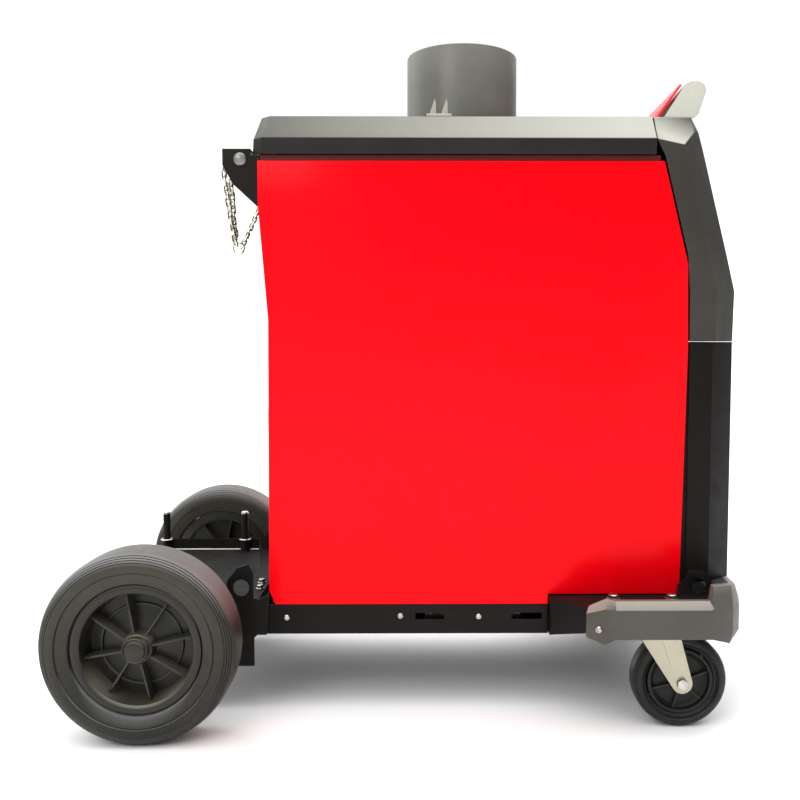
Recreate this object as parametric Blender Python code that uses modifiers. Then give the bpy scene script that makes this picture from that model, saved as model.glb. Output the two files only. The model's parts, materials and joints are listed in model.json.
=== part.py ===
"""Compact wheeled arc welding machine on a bottle trolley.

Metres, +Z up, +X to the control panel at the front. The origin is on the floor
below the middle of the machine's box. The near side is -Y (right) and the wire
spool door is on the +Y side (left).
"""
import math

import bmesh
import bpy
from mathutils import Matrix, Vector

# ---- driving dimensions -------------------------------------------------
GAP = 0.0005                 # clearance kept between touching pieces
SHEET = 0.002                # folded sheet thickness
HALF_WIDTH = 0.150           # outer face of the side panels

RAIL_BOTTOM = 0.106          # chassis tray
RAIL_TOP = 0.147
TRAY_REAR = -0.207
TRAY_FRONT = 0.1945

WHEEL_X = -0.340             # rear wheels
WHEEL_RADIUS = 0.125
WHEEL_WIDTH = 0.072
WHEEL_Y = 0.2425
RIM_RADIUS = 0.0837
RIM_OPENING = 0.071
SPOKES = 8
SPOKE_HALF = 0.0016
FIRST_SPOKE = math.radians(11.6)
AXLE_RADIUS = 0.010

SWIVEL_X = 0.321             # front casters
SWIVEL_Y = 0.200
TRAIL = 0.041
CASTER_RADIUS = 0.0625
CASTER_WIDTH = 0.037
PLATE_SIZE = (0.100, 0.075)
PLATE_HOLES = (0.040, 0.030)
PLATE_TOP = 0.1565

WING_TOP = 0.160             # front cross-member
WING_SHEET = 0.003
WING_HALF = 0.2420

PANEL_TOP = 0.7548           # cabinet
DOOR_BOTTOM = 0.300
COVER_BOTTOM = 0.763
COVER_CHAMFER = 0.784
COVER_TOP = 0.819
COVER_HALF = 0.156
TRAY_FLOOR = 0.800

FRAME_BOTTOM = 0.512         # plastic front frame
PANEL_ORIGIN = Vector((0.4268, 0.0, 0.697))   # middle of the sloping front face
PANEL_TILT = math.atan2(0.0517, 0.206)

DRUM_X = 0.0785              # cable drum on the lid
DRUM_RADIUS = 0.0818
DRUM_TOP = 0.932

HINGE = Vector((-0.2045, 0.1535, 0.0))        # spool door hinge line

# ---- finishes -----------------------------------------------------------
FINISHES = {
    "red_paint": ((0.72, 0.004, 0.008), 0.22, 0.0),
    "black_powder": ((0.018, 0.016, 0.017), 0.55, 0.0),
    "grey_plastic": ((0.045, 0.043, 0.042), 0.50, 0.0),
    "bumper_plastic": ((0.085, 0.083, 0.075), 0.50, 0.0),
    "black_plastic": ((0.015, 0.015, 0.015), 0.45, 0.0),
    "tyre_rubber": ((0.035, 0.034, 0.032), 0.80, 0.0),
    "zinc": ((0.62, 0.60, 0.52), 0.35, 0.9),
    "steel": ((0.50, 0.50, 0.50), 0.30, 1.0),
    "brass": ((0.70, 0.50, 0.20), 0.30, 1.0),
    "aluminium": ((0.70, 0.71, 0.72), 0.40, 0.9),
    "copper": ((0.60, 0.28, 0.12), 0.40, 0.8),
    "screen_glass": ((0.010, 0.012, 0.016), 0.08, 0.0),
}
RED = "red_paint"
BLACK = "black_powder"
GREY = "grey_plastic"
BUMPER = "bumper_plastic"
PLASTIC = "black_plastic"
RUBBER = "tyre_rubber"
ZINC = "zinc"
STEEL = "steel"
BRASS = "brass"
ALUMINIUM = "aluminium"
COPPER = "copper"
GLASS = "screen_glass"

# ---- scene and materials ------------------------------------------------
for old in list(bpy.data.objects):
    bpy.data.objects.remove(old, do_unlink=True)

machine = bpy.data.collections.new("arc_welding_machine")
bpy.context.scene.collection.children.link(machine)


def finish_material(name):
    """Principled material of one finish, made once."""
    found = bpy.data.materials.get(name)
    if found:
        return found
    colour, roughness, metallic = FINISHES[name]
    made = bpy.data.materials.new(name)
    made.use_nodes = True
    shader = made.node_tree.nodes["Principled BSDF"]
    shader.inputs["Base Color"].default_value = (*colour, 1.0)
    shader.inputs["Roughness"].default_value = roughness
    shader.inputs["Metallic"].default_value = metallic
    made.diffuse_color = (*colour, 1.0)
    return made


def new_object(name, mesh, finish):
    """Object of a mesh, linked to the machine's collection."""
    piece = bpy.data.objects.new(name, mesh)
    machine.objects.link(piece)
    mesh.materials.clear()
    mesh.materials.append(finish_material(finish))
    return piece


def settle(piece):
    """Replace a piece by the mesh that its modifiers give, with its faces out."""
    bpy.context.view_layer.update()
    graph = bpy.context.evaluated_depsgraph_get()
    mesh = bpy.data.meshes.new_from_object(piece.evaluated_get(graph))
    form = bmesh.new()
    form.from_mesh(mesh)
    bmesh.ops.remove_doubles(form, verts=form.verts, dist=0.00001)
    bmesh.ops.recalc_face_normals(form, faces=form.faces)
    form.to_mesh(mesh)
    form.free()
    if piece.type == "MESH":
        piece.modifiers.clear()
        piece.data = mesh
        return piece
    name = piece.name
    finish = piece.data.materials[0].name
    place = piece.matrix_world.copy()
    bpy.data.objects.remove(piece, do_unlink=True)
    solid = new_object(name, mesh, finish)
    solid.matrix_world = place
    return solid


def smooth(piece, degrees=40.0):
    """Smooth shading with creases kept sharp."""
    piece.data.shade_smooth()
    piece.data.set_sharp_from_angle(angle=math.radians(degrees))
    return piece


def bevel(piece, width, segments=1, degrees=30.0):
    """Chamfer or round the edges of a piece."""
    rounding = piece.modifiers.new("edges", "BEVEL")
    rounding.width = width
    rounding.segments = segments
    rounding.limit_method = "ANGLE"
    rounding.angle_limit = math.radians(degrees)
    return settle(piece)


def boolean(piece, tool, operation):
    """Cut a piece with a tool, or join the tool to it, and drop the tool."""
    step = piece.modifiers.new(operation.lower(), "BOOLEAN")
    step.operation = operation
    step.object = tool
    piece = settle(piece)
    bpy.data.objects.remove(tool, do_unlink=True)
    return piece


def cut(piece, *tools):
    """Take every tool out of the piece."""
    for tool in tools:
        piece = boolean(piece, tool, "DIFFERENCE")
    return piece


def join(piece, *tools):
    """Make one body of the piece and every tool."""
    for tool in tools:
        piece = boolean(piece, tool, "UNION")
    return piece


# ---- basic shapes -------------------------------------------------------
def box(name, low, high, finish=BLACK, rounding=0.0):
    """Box between two corners."""
    form = bmesh.new()
    size = [b - a for a, b in zip(low, high)]
    middle = [(a + b) / 2 for a, b in zip(low, high)]
    bmesh.ops.create_cube(form, size=1.0)
    bmesh.ops.scale(form, vec=size, verts=form.verts)
    bmesh.ops.translate(form, vec=middle, verts=form.verts)
    mesh = bpy.data.meshes.new(name)
    form.to_mesh(mesh)
    form.free()
    piece = new_object(name, mesh, finish)
    return bevel(piece, rounding) if rounding else piece


# Turns local +Z onto a world axis, with local X and Y onto the other two.
FACING = {
    "X": Matrix(((0, 0, 1), (1, 0, 0), (0, 1, 0))),
    "Y": Matrix(((1, 0, 0), (0, 0, -1), (0, 1, 0))),
    "Z": Matrix.Identity(3),
}


def facing(axis, place):
    """World matrix of a piece made about local Z and turned to an axis."""
    return Matrix.Translation(Vector(place)) @ FACING[axis].to_4x4()


def cylinder(name, radius, length, place, axis="Z", finish=STEEL, sides=24, top=None):
    """Cylinder or cone about an axis, centred on a place."""
    form = bmesh.new()
    end = radius if top is None else top
    bmesh.ops.create_cone(form, cap_ends=True, segments=sides, radius1=radius,
                          radius2=end, depth=length)
    bmesh.ops.transform(form, matrix=facing(axis, place), verts=form.verts)
    mesh = bpy.data.meshes.new(name)
    form.to_mesh(mesh)
    form.free()
    return smooth(new_object(name, mesh, finish))


def turned(name, profile, place, axis="Z", finish=PLASTIC, steps=32, ring=False):
    """Profile of (radius, height) points turned about an axis."""
    mesh = bpy.data.meshes.new(name)
    points = [(radius, 0.0, height) for radius, height in profile]
    edges = [(i, i + 1) for i in range(len(points) - 1)]
    if ring:
        edges.append((len(points) - 1, 0))
    mesh.from_pydata(points, edges, [])
    piece = new_object(name, mesh, finish)
    screw = piece.modifiers.new("turn", "SCREW")
    screw.steps = steps
    screw.render_steps = steps
    screw.use_merge_vertices = True
    screw.merge_threshold = 0.00001
    piece = settle(piece)
    piece.data.transform(facing(axis, place))
    return smooth(piece, 35.0)


def outline(name, loops, low, high, axis="Y", finish=BLACK):
    """Flat outline, with its holes, filled and extruded between two levels of an axis."""
    curve = bpy.data.curves.new(name, "CURVE")
    curve.dimensions = "2D"
    curve.fill_mode = "BOTH"
    curve.extrude = (high - low) / 2
    for loop in loops:
        spline = curve.splines.new("POLY")
        spline.points.add(len(loop) - 1)
        for point, (u, v) in zip(spline.points, loop):
            point.co = (u, v, 0.0, 1.0)
        spline.use_cyclic_u = True
    curve.materials.append(finish_material(finish))
    piece = bpy.data.objects.new(name, curve)
    machine.objects.link(piece)
    middle = (low + high) / 2
    place = {"X": (middle, 0, 0), "Y": (0, middle, 0), "Z": (0, 0, middle)}[axis]
    solid = settle(piece)
    solid.data.transform(facing(axis, place))
    return solid


def tube(name, points, radius, finish=ZINC, cyclic=False, resolution=2):
    """Round bar along points."""
    curve = bpy.data.curves.new(name, "CURVE")
    curve.dimensions = "3D"
    curve.bevel_depth = radius
    curve.bevel_resolution = resolution
    curve.use_fill_caps = not cyclic
    spline = curve.splines.new("POLY")
    spline.points.add(len(points) - 1)
    for point, place in zip(spline.points, points):
        point.co = (*place, 1.0)
    spline.use_cyclic_u = cyclic
    curve.materials.append(finish_material(finish))
    piece = bpy.data.objects.new(name, curve)
    machine.objects.link(piece)
    return smooth(settle(piece))


def loft(name, sections, finish=GREY):
    """Solid through closed sections of the same number of points."""
    form = bmesh.new()
    rings = [[form.verts.new(point) for point in section] for section in sections]
    count = len(rings[0])
    for lower, upper in zip(rings, rings[1:]):
        for i in range(count):
            j = (i + 1) % count
            form.faces.new((lower[i], lower[j], upper[j], upper[i]))
    form.faces.new(rings[0])
    form.faces.new(rings[-1])
    bmesh.ops.recalc_face_normals(form, faces=form.faces)
    mesh = bpy.data.meshes.new(name)
    form.to_mesh(mesh)
    form.free()
    return new_object(name, mesh, finish)


def circle(radius, count, centre=(0.0, 0.0), start=0.0, sweep=2 * math.pi):
    """Points round a circle, or along an arc of it when sweep is less than a turn."""
    whole = abs(sweep - 2 * math.pi) < 0.000001
    steps = count if whole else count - 1
    return [(centre[0] + radius * math.cos(start + sweep * i / steps),
             centre[1] + radius * math.sin(start + sweep * i / steps)) for i in range(count)]


def mirrored(points):
    """Half outline from rear to front, followed by its mirror image in Y."""
    return points + [(x, -y) for x, y in reversed(points)]


# ---- chassis ------------------------------------------------------------
def chassis_tray():
    """Open folded tray under the cabinet, slotted on both sides."""
    tray = box("chassis_tray", (TRAY_REAR, -HALF_WIDTH, RAIL_BOTTOM),
               (TRAY_FRONT, HALF_WIDTH, RAIL_TOP))
    inside = box("inside", (TRAY_REAR + 0.003, -HALF_WIDTH + 0.003, RAIL_BOTTOM + 0.003),
                 (TRAY_FRONT - 0.003, HALF_WIDTH - 0.003, RAIL_TOP + 0.01))
    slots = [box("slot", (low, -0.2, 0.126), (high, 0.2, 0.135))
             for low, high in ((0.010, 0.050), (0.144, 0.186))]
    cut(tray, inside, *slots)


def rear_platform():
    """Folded bottle platform with two short posts on its left flange."""
    low, high = -0.430, TRAY_REAR - GAP
    floor, rim = 0.1525, 0.174
    platform = box("rear_platform", (low, -HALF_WIDTH, floor), (high, HALF_WIDTH, rim))
    inside = box("inside", (low - 0.01, -0.147, floor + 0.003), (high + 0.01, 0.147, 0.2))
    ends = [box("end", (a, -0.2, floor + 0.003), (b, 0.2, 0.2))
            for a, b in ((low - 0.01, -0.427), (-0.262, high + 0.01))]
    cut(platform, inside, *ends)
    for x in (-0.2856, -0.4190):
        post = cylinder("post", 0.0060, 0.050, (x, 0.1440, 0.193), sides=12)
        foot = cylinder("foot", 0.0085, 0.0190, (x, 0.1440, 0.1635), sides=12)
        join(platform, post, foot)


def axle_bracket(name, side):
    """Side plate with the axle bore and a lifting eye above it."""
    shape = [(-0.300, 0.062), (-0.214, 0.062), (-0.214, 0.101), (-0.209, 0.106),
             (-0.196, 0.106), (-0.1915, 0.1625), (-0.2145, 0.1529), (-0.2145, 0.1913),
             (-0.2212, 0.2048), (-0.2364, 0.1998), (-0.2505, 0.1816), (-0.2505, 0.152),
             (-0.385, 0.152), (-0.385, 0.100)]
    eye = circle(0.0115, 16, (-0.2310, 0.1725))
    bore = circle(AXLE_RADIUS + 0.0004, 20, (WHEEL_X, WHEEL_RADIUS))
    low, high = sorted((side * (HALF_WIDTH + GAP), side * (HALF_WIDTH + GAP + 0.004)))
    outline(name, [shape, eye, bore], low, high)


def front_crossmember():
    """Folded wing plate that carries the casters, with two lifting eyes."""
    slope = [(0.1955, 0.150), (0.1966, 0.164), (0.2412, 0.2172), (0.2690, WING_HALF),
             (0.380, WING_HALF), (0.405, 0.225), (0.428, 0.190)]
    wing = outline("front_crossmember", [mirrored(slope)], 0.106, WING_TOP, "Z")
    inner = [(0.1985, 0.1485), (0.1995, 0.163), (0.2433, 0.2150), (0.2702, 0.2390),
             (0.379, 0.2390), (0.4025, 0.2235), (0.425, 0.189)]
    pocket = outline("pocket", [mirrored(inner)], 0.09, WING_TOP - WING_SHEET, "Z")
    skirt = [(0.1965, 0.09), (0.5, 0.09), (0.5, 0.1495), (0.262, 0.1495),
             (0.262, 0.1275), (0.240, 0.1275), (0.1965, 0.1085)]
    relief = outline("relief", [skirt], -0.3, 0.3, "Y")
    front = box("front", (0.285, -0.3, 0.09), (0.5, 0.3, 0.145))
    holes = [cylinder("hole", 0.0042, 0.02, (SWIVEL_X + dx, side * (SWIVEL_Y + dy), WING_TOP),
                      sides=10)
             for side in (-1, 1) for dx in (-0.040, 0.040) for dy in (-0.030, 0.030)]
    cut(wing, pocket, relief, front, *holes)
    shape = [(0.374, 0.158), (0.432, 0.158), (0.4255, 0.1715), (0.4118, 0.1945),
             (0.389, 0.1965), (0.3845, 0.1855), (0.374, 0.175)]
    for side in (-1, 1):
        low, high = sorted((side * 0.1506, side * 0.1546))
        eye = outline("eye", [shape, circle(0.0105, 16, (0.4035, 0.1735))], low, high)
        join(wing, eye)


def front_bumper():
    """Faceted plastic bumper: a hollow channel swept round the front corners."""
    wall = 0.003
    # x, y, inner x, inner y, top, widest level, lower crease, bottom, foot setback
    stations = [
        (0.2350, 0.222, 0.2450, 0.2085, 0.1645, 0.156, 0.1340, 0.1245, 0.0),
        (0.2570, 0.240, 0.2620, 0.2262, 0.1785, 0.1665, 0.1300, 0.1195, 0.0),
        (0.2687, 0.250, 0.2690, 0.2350, 0.1785, 0.168, 0.1355, 0.1290, 0.002),
        (0.3905, 0.250, 0.3900, 0.2350, 0.1785, 0.168, 0.1355, 0.1290, 0.002),
        (0.3945, 0.250, 0.3935, 0.2350, 0.1985, 0.170, 0.1370, 0.1290, 0.002),
        (0.4200, 0.246, 0.4150, 0.2315, 0.1990, 0.170, 0.1380, 0.1220, 0.006),
        (0.4345, 0.226, 0.4225, 0.2160, 0.1955, 0.168, 0.1360, 0.1140, 0.012),
        (0.4497, 0.180, 0.4360, 0.1740, 0.1850, 0.166, 0.1400, 0.1180, 0.013),
        (0.4650, 0.110, 0.4500, 0.1070, 0.1740, 0.160, 0.1400, 0.1280, 0.010),
    ]
    sections = []
    for x, y, inner_x, inner_y, top, middle, lower, bottom, foot in stations:
        outer = Vector((x, y, 0.0))
        inner = Vector((inner_x, inner_y, 0.0))
        way = (inner - outer).normalized()
        span = (inner - outer).length
        slant = 0.0065
        levels = [
            (foot, bottom), (0.0, lower), (0.0, middle), (slant, top), (span, top),
            (span, WING_TOP + GAP), (span - wall, WING_TOP + GAP),
            (span - wall, top - wall), (slant + 0.002, top - wall),
            (wall, middle), (wall, lower), (foot + wall / 2, bottom),
        ]
        sections.append([outer + way * s + Vector((0, 0, z)) for s, z in levels])
    other = [[Vector((p.x, -p.y, p.z)) for p in section] for section in reversed(sections)]
    loft("front_bumper", sections + other, BUMPER)


# ---- wheels -------------------------------------------------------------
def sector(inner, outer, start, end, half, steps):
    """Window between two straight spokes of a wheel."""
    first = start + math.asin(half / outer)
    last = end - math.asin(half / outer)
    far = circle(outer, steps, start=first, sweep=last - first)
    first = start + math.asin(half / inner)
    last = end - math.asin(half / inner)
    near = circle(inner, 4, start=first, sweep=last - first)
    return far + near[::-1]


def rear_wheel(label, side):
    """Tyre, spoked rim and axle cap of one rear wheel."""
    middle = side * WHEEL_Y
    centre = (WHEEL_X, middle, WHEEL_RADIUS)
    half = WHEEL_WIDTH / 2
    tread = [
        (RIM_RADIUS + GAP, -half + 0.006), (0.094, -half), (0.108, -half + 0.001),
        (0.1195, -half + 0.008), (WHEEL_RADIUS, -half + 0.019),
        (WHEEL_RADIUS, half - 0.019), (0.1195, half - 0.008), (0.108, half - 0.001),
        (0.094, half), (RIM_RADIUS + GAP, half - 0.006),
    ]
    turned("tyre_" + label, tread, centre, "Y", RUBBER, 48, ring=True)

    step = 2 * math.pi / SPOKES
    windows = [sector(0.020, RIM_OPENING, FIRST_SPOKE + i * step,
                      FIRST_SPOKE + (i + 1) * step, SPOKE_HALF, 7) for i in range(SPOKES)]
    bore = circle(AXLE_RADIUS + 0.0004, 20)
    depth = 0.024
    rim = outline("rim_" + label, [circle(RIM_RADIUS, 48), *windows, bore], -depth, depth,
                  "Y", PLASTIC)
    rim.data.transform(Matrix.Translation(centre))

    cap_y = side * (WHEEL_Y + 0.0245)
    height = 0.011
    dome = [(0.0, 0.0), (0.0165, 0.0), (0.0165, 0.004), (0.012, 0.009), (0.0, height)]
    cap = turned("axle_cap_" + label, dome, (0, 0, 0), "Z", PLASTIC, 20)
    turn = Matrix.Rotation(math.pi / 2 * (1 if side < 0 else -1), 4, "X")
    cap.data.transform(Matrix.Translation((WHEEL_X, cap_y, WHEEL_RADIUS)) @ turn)


def caster(label, side):
    """Top plate, swivelling fork, wheel and axle bolt of one front caster."""
    y = side * SWIVEL_Y
    length, width = PLATE_SIZE
    plate = box("caster_plate_" + label,
                (SWIVEL_X - length / 2, y - width / 2, PLATE_TOP - 0.003),
                (SWIVEL_X + length / 2, y + width / 2, PLATE_TOP), ZINC)
    race = cylinder("race", 0.034, 0.006, (SWIVEL_X, y, PLATE_TOP - 0.0055), sides=28)
    holes = [cylinder("hole", 0.0045, 0.02, (SWIVEL_X + dx, y + dy, PLATE_TOP), sides=10)
             for dx in (-PLATE_HOLES[0], PLATE_HOLES[0])
             for dy in (-PLATE_HOLES[1], PLATE_HOLES[1])]
    join(plate, race)
    cut(plate, *holes)

    crown_top = PLATE_TOP - 0.0085 - GAP
    fork = cylinder("caster_fork_" + label, 0.037, 0.006,
                    (SWIVEL_X, y, crown_top - 0.003), finish=ZINC, sides=28)
    axle_x = SWIVEL_X + TRAIL
    foot = circle(0.0135, 8, (axle_x, CASTER_RADIUS), start=-math.pi + 0.5, sweep=math.pi - 0.3)
    leg = [(0.292, crown_top - 0.001), *foot, (0.353, crown_top - 0.001)]
    bore = circle(0.0045, 12, (axle_x, CASTER_RADIUS))
    for way in (-1, 1):
        low, high = sorted((y + way * 0.0225, y + way * 0.0255))
        join(fork, outline("leg", [leg, bore], low, high, "Y", ZINC))

    half = CASTER_WIDTH / 2
    centre = (axle_x, y, CASTER_RADIUS)
    tread = [(0.044, -half + 0.002), (0.054, -half), (0.0595, -half + 0.004),
             (CASTER_RADIUS, -half + 0.011), (CASTER_RADIUS, half - 0.011),
             (0.0595, half - 0.004), (0.054, half), (0.044, half - 0.002)]
    turned("caster_tyre_" + label, tread, centre, "Y", RUBBER, 36, ring=True)
    hub = half + 0.0015
    core = [(0.0050, -hub), (0.012, -hub), (0.014, -0.010), (0.036, -0.010),
            (0.040, -half + 0.002), (0.0435, -half + 0.002), (0.0435, half - 0.002),
            (0.040, half - 0.002), (0.036, 0.010), (0.014, 0.010), (0.012, hub),
            (0.0050, hub)]
    turned("caster_core_" + label, core, centre, "Y", PLASTIC, 32, ring=True)

    bolt = cylinder("caster_axle_" + label, 0.0040, 0.060, centre, "Y", STEEL, 12)
    for way in (-1, 1):
        head = cylinder("head", 0.0075, 0.004, (axle_x, y + way * 0.0282, CASTER_RADIUS),
                        "Y", STEEL, 6)
        join(bolt, head)


# ---- cabinet ------------------------------------------------------------
FRONT_EDGE = [(0.3475, PANEL_TOP), (0.3816, 0.617), (0.3835, 0.510)]
REAR_EDGE = [(-0.190, 0.541), (-0.2020, 0.695), (-0.2020, PANEL_TOP)]


def side_panels():
    """Fixed near panel, and the low panel under the door on the other side."""
    foot = [(0.377, 0.1615), (0.1945, 0.1615), (0.1945, 0.1475), (-0.185, 0.1475),
            (-0.193, 0.168)]
    outline("side_panel_right", [FRONT_EDGE + foot + REAR_EDGE], -HALF_WIDTH,
            -HALF_WIDTH + SHEET, "Y", RED)
    low = [(0.3800, DOOR_BOTTOM - 0.0015)] + foot + [(-0.1915, DOOR_BOTTOM - 0.0015)]
    outline("side_panel_left_lower", [low], HALF_WIDTH - SHEET, HALF_WIDTH, "Y", RED)


def spool_door():
    """Hinged door over the wire feed compartment, with its turned inner flanges."""
    shape = FRONT_EDGE + [(0.3810, DOOR_BOTTOM), (-0.1915, DOOR_BOTTOM)] + REAR_EDGE
    outline("spool_door", [shape], HALF_WIDTH - SHEET, HALF_WIDTH, "Y", RED)
    knob = cylinder("door_latch", 0.012, 0.005, (0.345, HALF_WIDTH + GAP + 0.0025, 0.520),
                    "Y", PLASTIC, 20)
    grip = box("grip", (0.3425, HALF_WIDTH + 0.004, 0.5095),
               (0.3475, HALF_WIDTH + 0.0075, 0.5305), PLASTIC)
    join(knob, grip)


def rear_panel():
    """Rear wall that follows the panels' edges, with the fan opening."""
    face = [(-0.1885, 0.1475), (-0.1885, 0.541), (-0.2005, 0.695), (-0.2005, 0.762)]
    shape = face + [(x + 0.0015, z) for x, z in reversed(face)]
    limit = HALF_WIDTH - SHEET - GAP
    wall = outline("rear_panel", [shape], -limit, limit)
    fan = cylinder("fan_hole", 0.056, 0.02, (-0.188, -0.075, 0.400), "X", sides=24)
    cut(wall, fan)


def partition():
    """Wall between the power side and the wire feed side."""
    shape = [(-0.184, 0.1095), (0.185, 0.1095), (0.185, 0.1625), (0.372, 0.1625),
             (0.376, 0.510), (0.342, 0.745), (0.325, 0.760), (-0.195, 0.760),
             (-0.195, 0.700), (-0.184, 0.545)]
    hole = circle(0.014, 16, (0.215, 0.480))
    outline("partition", [shape, hole], -0.001, 0.001, "Y", ALUMINIUM)


def top_cover():
    """Plastic lid with a chamfered rim and a shallow tray."""
    rear, front = -0.210, 0.335
    corner = 0.0135

    def ring(z, inset, rear_inset):
        """Lid outline at one level, with its two rear corners cut."""
        x0, y = rear + rear_inset, COVER_HALF - inset
        half = [(x0, y - corner * 0.9), (x0 + corner, y), (front, y)]
        return [Vector((px, py, z)) for px, py in mirrored(half)]

    lid = loft("top_cover", [ring(COVER_BOTTOM, 0.001, 0.0008), ring(COVER_CHAMFER, 0.0, 0.0022),
                             ring(COVER_TOP, 0.028, 0.0088)])
    tray = box("tray", (-0.180, -0.112, TRAY_FLOOR), (0.318, 0.112, 0.9))
    inner = [(rear + 0.006, 0.137), (rear + 0.006 + corner, 0.151), (front - 0.004, 0.151)]
    well = outline("well", [mirrored(inner)], 0.7, 0.7805, "Z")
    under = box("under", (-0.190, -0.122, 0.7), (front - 0.004, 0.122, TRAY_FLOOR - 0.003))
    cut(lid, tray, well, under)


def front_frame():
    """Faceted plastic front shell round the control panel."""
    stations = [                       # level, rear edge, side crease, front face
        (FRAME_BOTTOM, 0.3848, 0.4190, 0.4535),
        (0.582, 0.3840, 0.4200, 0.4550),
        (0.629, 0.3810, 0.4065, 0.4439),
        (0.674, 0.3698, 0.3980, 0.4326),
        (0.711, 0.3606, 0.3870, 0.4233),
        (0.7615, 0.3478, 0.3755, 0.4107),
    ]

    def section(z, rear, crease, front, wall):
        """Plan outline of the shell, set in by a wall thickness."""
        half = [(rear, 0.1525 - wall), (crease - wall, 0.1545 - wall),
                (front - wall, 0.1210 - wall * 0.8)]
        return [Vector((x, y, z)) for x, y in mirrored(half)]

    def cap(rear, crease, front):
        """Section of the chamfered top, from one side's three corners."""
        left = [Vector(corner) for corner in (rear, crease, front)]
        return left + [Vector((x, -y, z)) for x, y, z in left[::-1]]

    chamfer = [
        cap((0.3365, 0.1525, COVER_CHAMFER), (0.3722, 0.1545, 0.7760), (0.4070, 0.1210, 0.7760)),
        cap((0.3365, 0.1415, 0.7980), (0.3925, 0.1297, 0.7980), (0.4015, 0.1195, 0.7980)),
        cap((0.3365, 0.1288, 0.8185), (0.3880, 0.1270, 0.8185), (0.3925, 0.1150, 0.8185)),
    ]
    lid = [
        cap((0.3400, 0.1480, 0.7800), (0.3700, 0.1500, 0.7745), (0.4046, 0.1180, 0.7745)),
        cap((0.3400, 0.1370, 0.7965), (0.3870, 0.1240, 0.7965), (0.3993, 0.1150, 0.7965)),
        cap((0.3400, 0.1250, 0.8150), (0.3840, 0.1220, 0.8150), (0.3885, 0.1110, 0.8150)),
    ]
    walls = [section(z, a, b, c, 0.0) for z, a, b, c in stations]
    inner = [section(z, a - 0.01, b, c, 0.003) for z, a, b, c in stations]
    inner[0] = [p - Vector((0, 0, 0.01)) for p in inner[0]]
    shell = loft("front_frame", walls + chamfer)
    window = box("window", (-0.02, -0.103, -0.092), (0.02, 0.103, 0.086))
    place_on_panel(window, 0.0, 0.0, 0.0)
    cut(shell, loft("hollow", inner + lid), window)


def place_on_panel(piece, across, up, out):
    """Move a piece made about the origin, +X outward, onto the sloping control face."""
    tilt = Matrix.Rotation(-PANEL_TILT, 4, "Y")
    shift = Matrix.Translation(Vector((out, across, up)))
    piece.data.transform(Matrix.Translation(PANEL_ORIGIN) @ tilt @ shift)
    return piece


# ---- front controls -----------------------------------------------------
BUTTONS = ((-0.030, 0.004), (0.030, 0.004))
KNOBS = (("voltage_knob", -0.045), ("wire_speed_knob", 0.045))
PANEL_FACE = -0.0035


def control_panel():
    """Sloping panel behind the shell's window, with its display, knobs and buttons."""
    panel = box("control_panel", (-0.0015, -0.1085, -0.098), (0.0015, 0.1085, 0.091), PLASTIC)
    place_on_panel(panel, 0, 0, PANEL_FACE - 0.0015)
    for across, up in BUTTONS:
        hole = cylinder("hole", 0.0062, 0.03, (0, 0, 0), "X", sides=16)
        cut(panel, place_on_panel(hole, across, up, 0))
    display = box("display_window", (-0.00125, -0.060, -0.022), (0.00125, 0.060, 0.022),
                  GLASS, 0.0008)
    place_on_panel(display, 0, 0.050, PANEL_FACE + 0.0004 + 0.00125)
    for index, (across, up) in enumerate(BUTTONS):
        button = cylinder("select_button_%d" % (index + 1), 0.0055, 0.010, (0, 0, 0), "X",
                          RUBBER, 16)
        place_on_panel(button, across, up, PANEL_FACE - 0.002)
    for name, across in KNOBS:
        profile = [(0.0, 0.013), (0.014, 0.013), (0.0155, 0.0115), (0.018, 0.002),
                   (0.018, 0.0), (0.0, 0.0)]
        knob = turned(name, profile, (0, 0, 0), "X", PLASTIC, 24)
        place_on_panel(knob, across, -0.050, PANEL_FACE + 0.0004)


SOCKETS = (("output_socket_plus", 0.055, 0.330), ("output_socket_minus", -0.055, 0.330))
TORCH = (0.055, 0.440)
SWITCH = (-0.055, 0.440)
FACE_X = 0.4535


def lower_front_panel():
    """Folded black panel under the plastic shell: vent slots and stepped side flanges."""
    half = [(0.3680, 0.1466), (0.3850, 0.1466), (0.3856, 0.1500), (0.4170, 0.1500),
            (FACE_X, 0.1200)]
    inner = [(0.3680, 0.1448), (0.3865, 0.1448), (0.3873, 0.1480), (0.4162, 0.1480),
             (FACE_X - 0.0025, 0.1188)]
    ring = half + [(x, -y) for x, y in reversed(half)]
    back = inner + [(x, -y) for x, y in reversed(inner)]
    panel = outline("lower_front_panel", [ring + back[::-1]], 0.1786, FRAME_BOTTOM - 0.0006,
                    "Z")
    slots = [box("slot", (0.440, -0.080, z), (0.470, 0.080, z + 0.006))
             for z in (0.222, 0.235, 0.248, 0.261)]
    bores = [cylinder("bore", 0.0135, 0.03, (FACE_X, y, z), "X", sides=20)
             for name, y, z in SOCKETS]
    torch = cylinder("bore", 0.0185, 0.03, (FACE_X, *TORCH), "X", sides=20)
    cut(panel, *slots, *bores, torch)


def front_sockets():
    """Torch socket, two output sockets and the mains switch."""
    base = FACE_X + GAP
    for name, y, z in SOCKETS:
        profile = [(0.0070, 0.011), (0.0150, 0.011), (0.0185, 0.006), (0.0185, 0.0),
                   (0.0125, 0.0), (0.0125, -0.014), (0.0070, -0.014)]
        turned(name, profile, (base, y, z), "X", PLASTIC, 24, ring=True)
    profile = [(0.0090, 0.011), (0.0230, 0.011), (0.0270, 0.006), (0.0270, 0.0),
               (0.0175, 0.0), (0.0175, -0.020), (0.0090, -0.020)]
    turned("torch_socket", profile, (base, *TORCH), "X", BRASS, 28, ring=True)
    y, z = SWITCH
    knob = cylinder("mains_switch", 0.024, 0.005, (base + 0.0025, y, z), "X", PLASTIC, 28)
    grip = box("grip", (base + 0.004, y - 0.006, z - 0.0220),
               (base + 0.0110, y + 0.006, z + 0.0220), PLASTIC)
    join(knob, grip)


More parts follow.
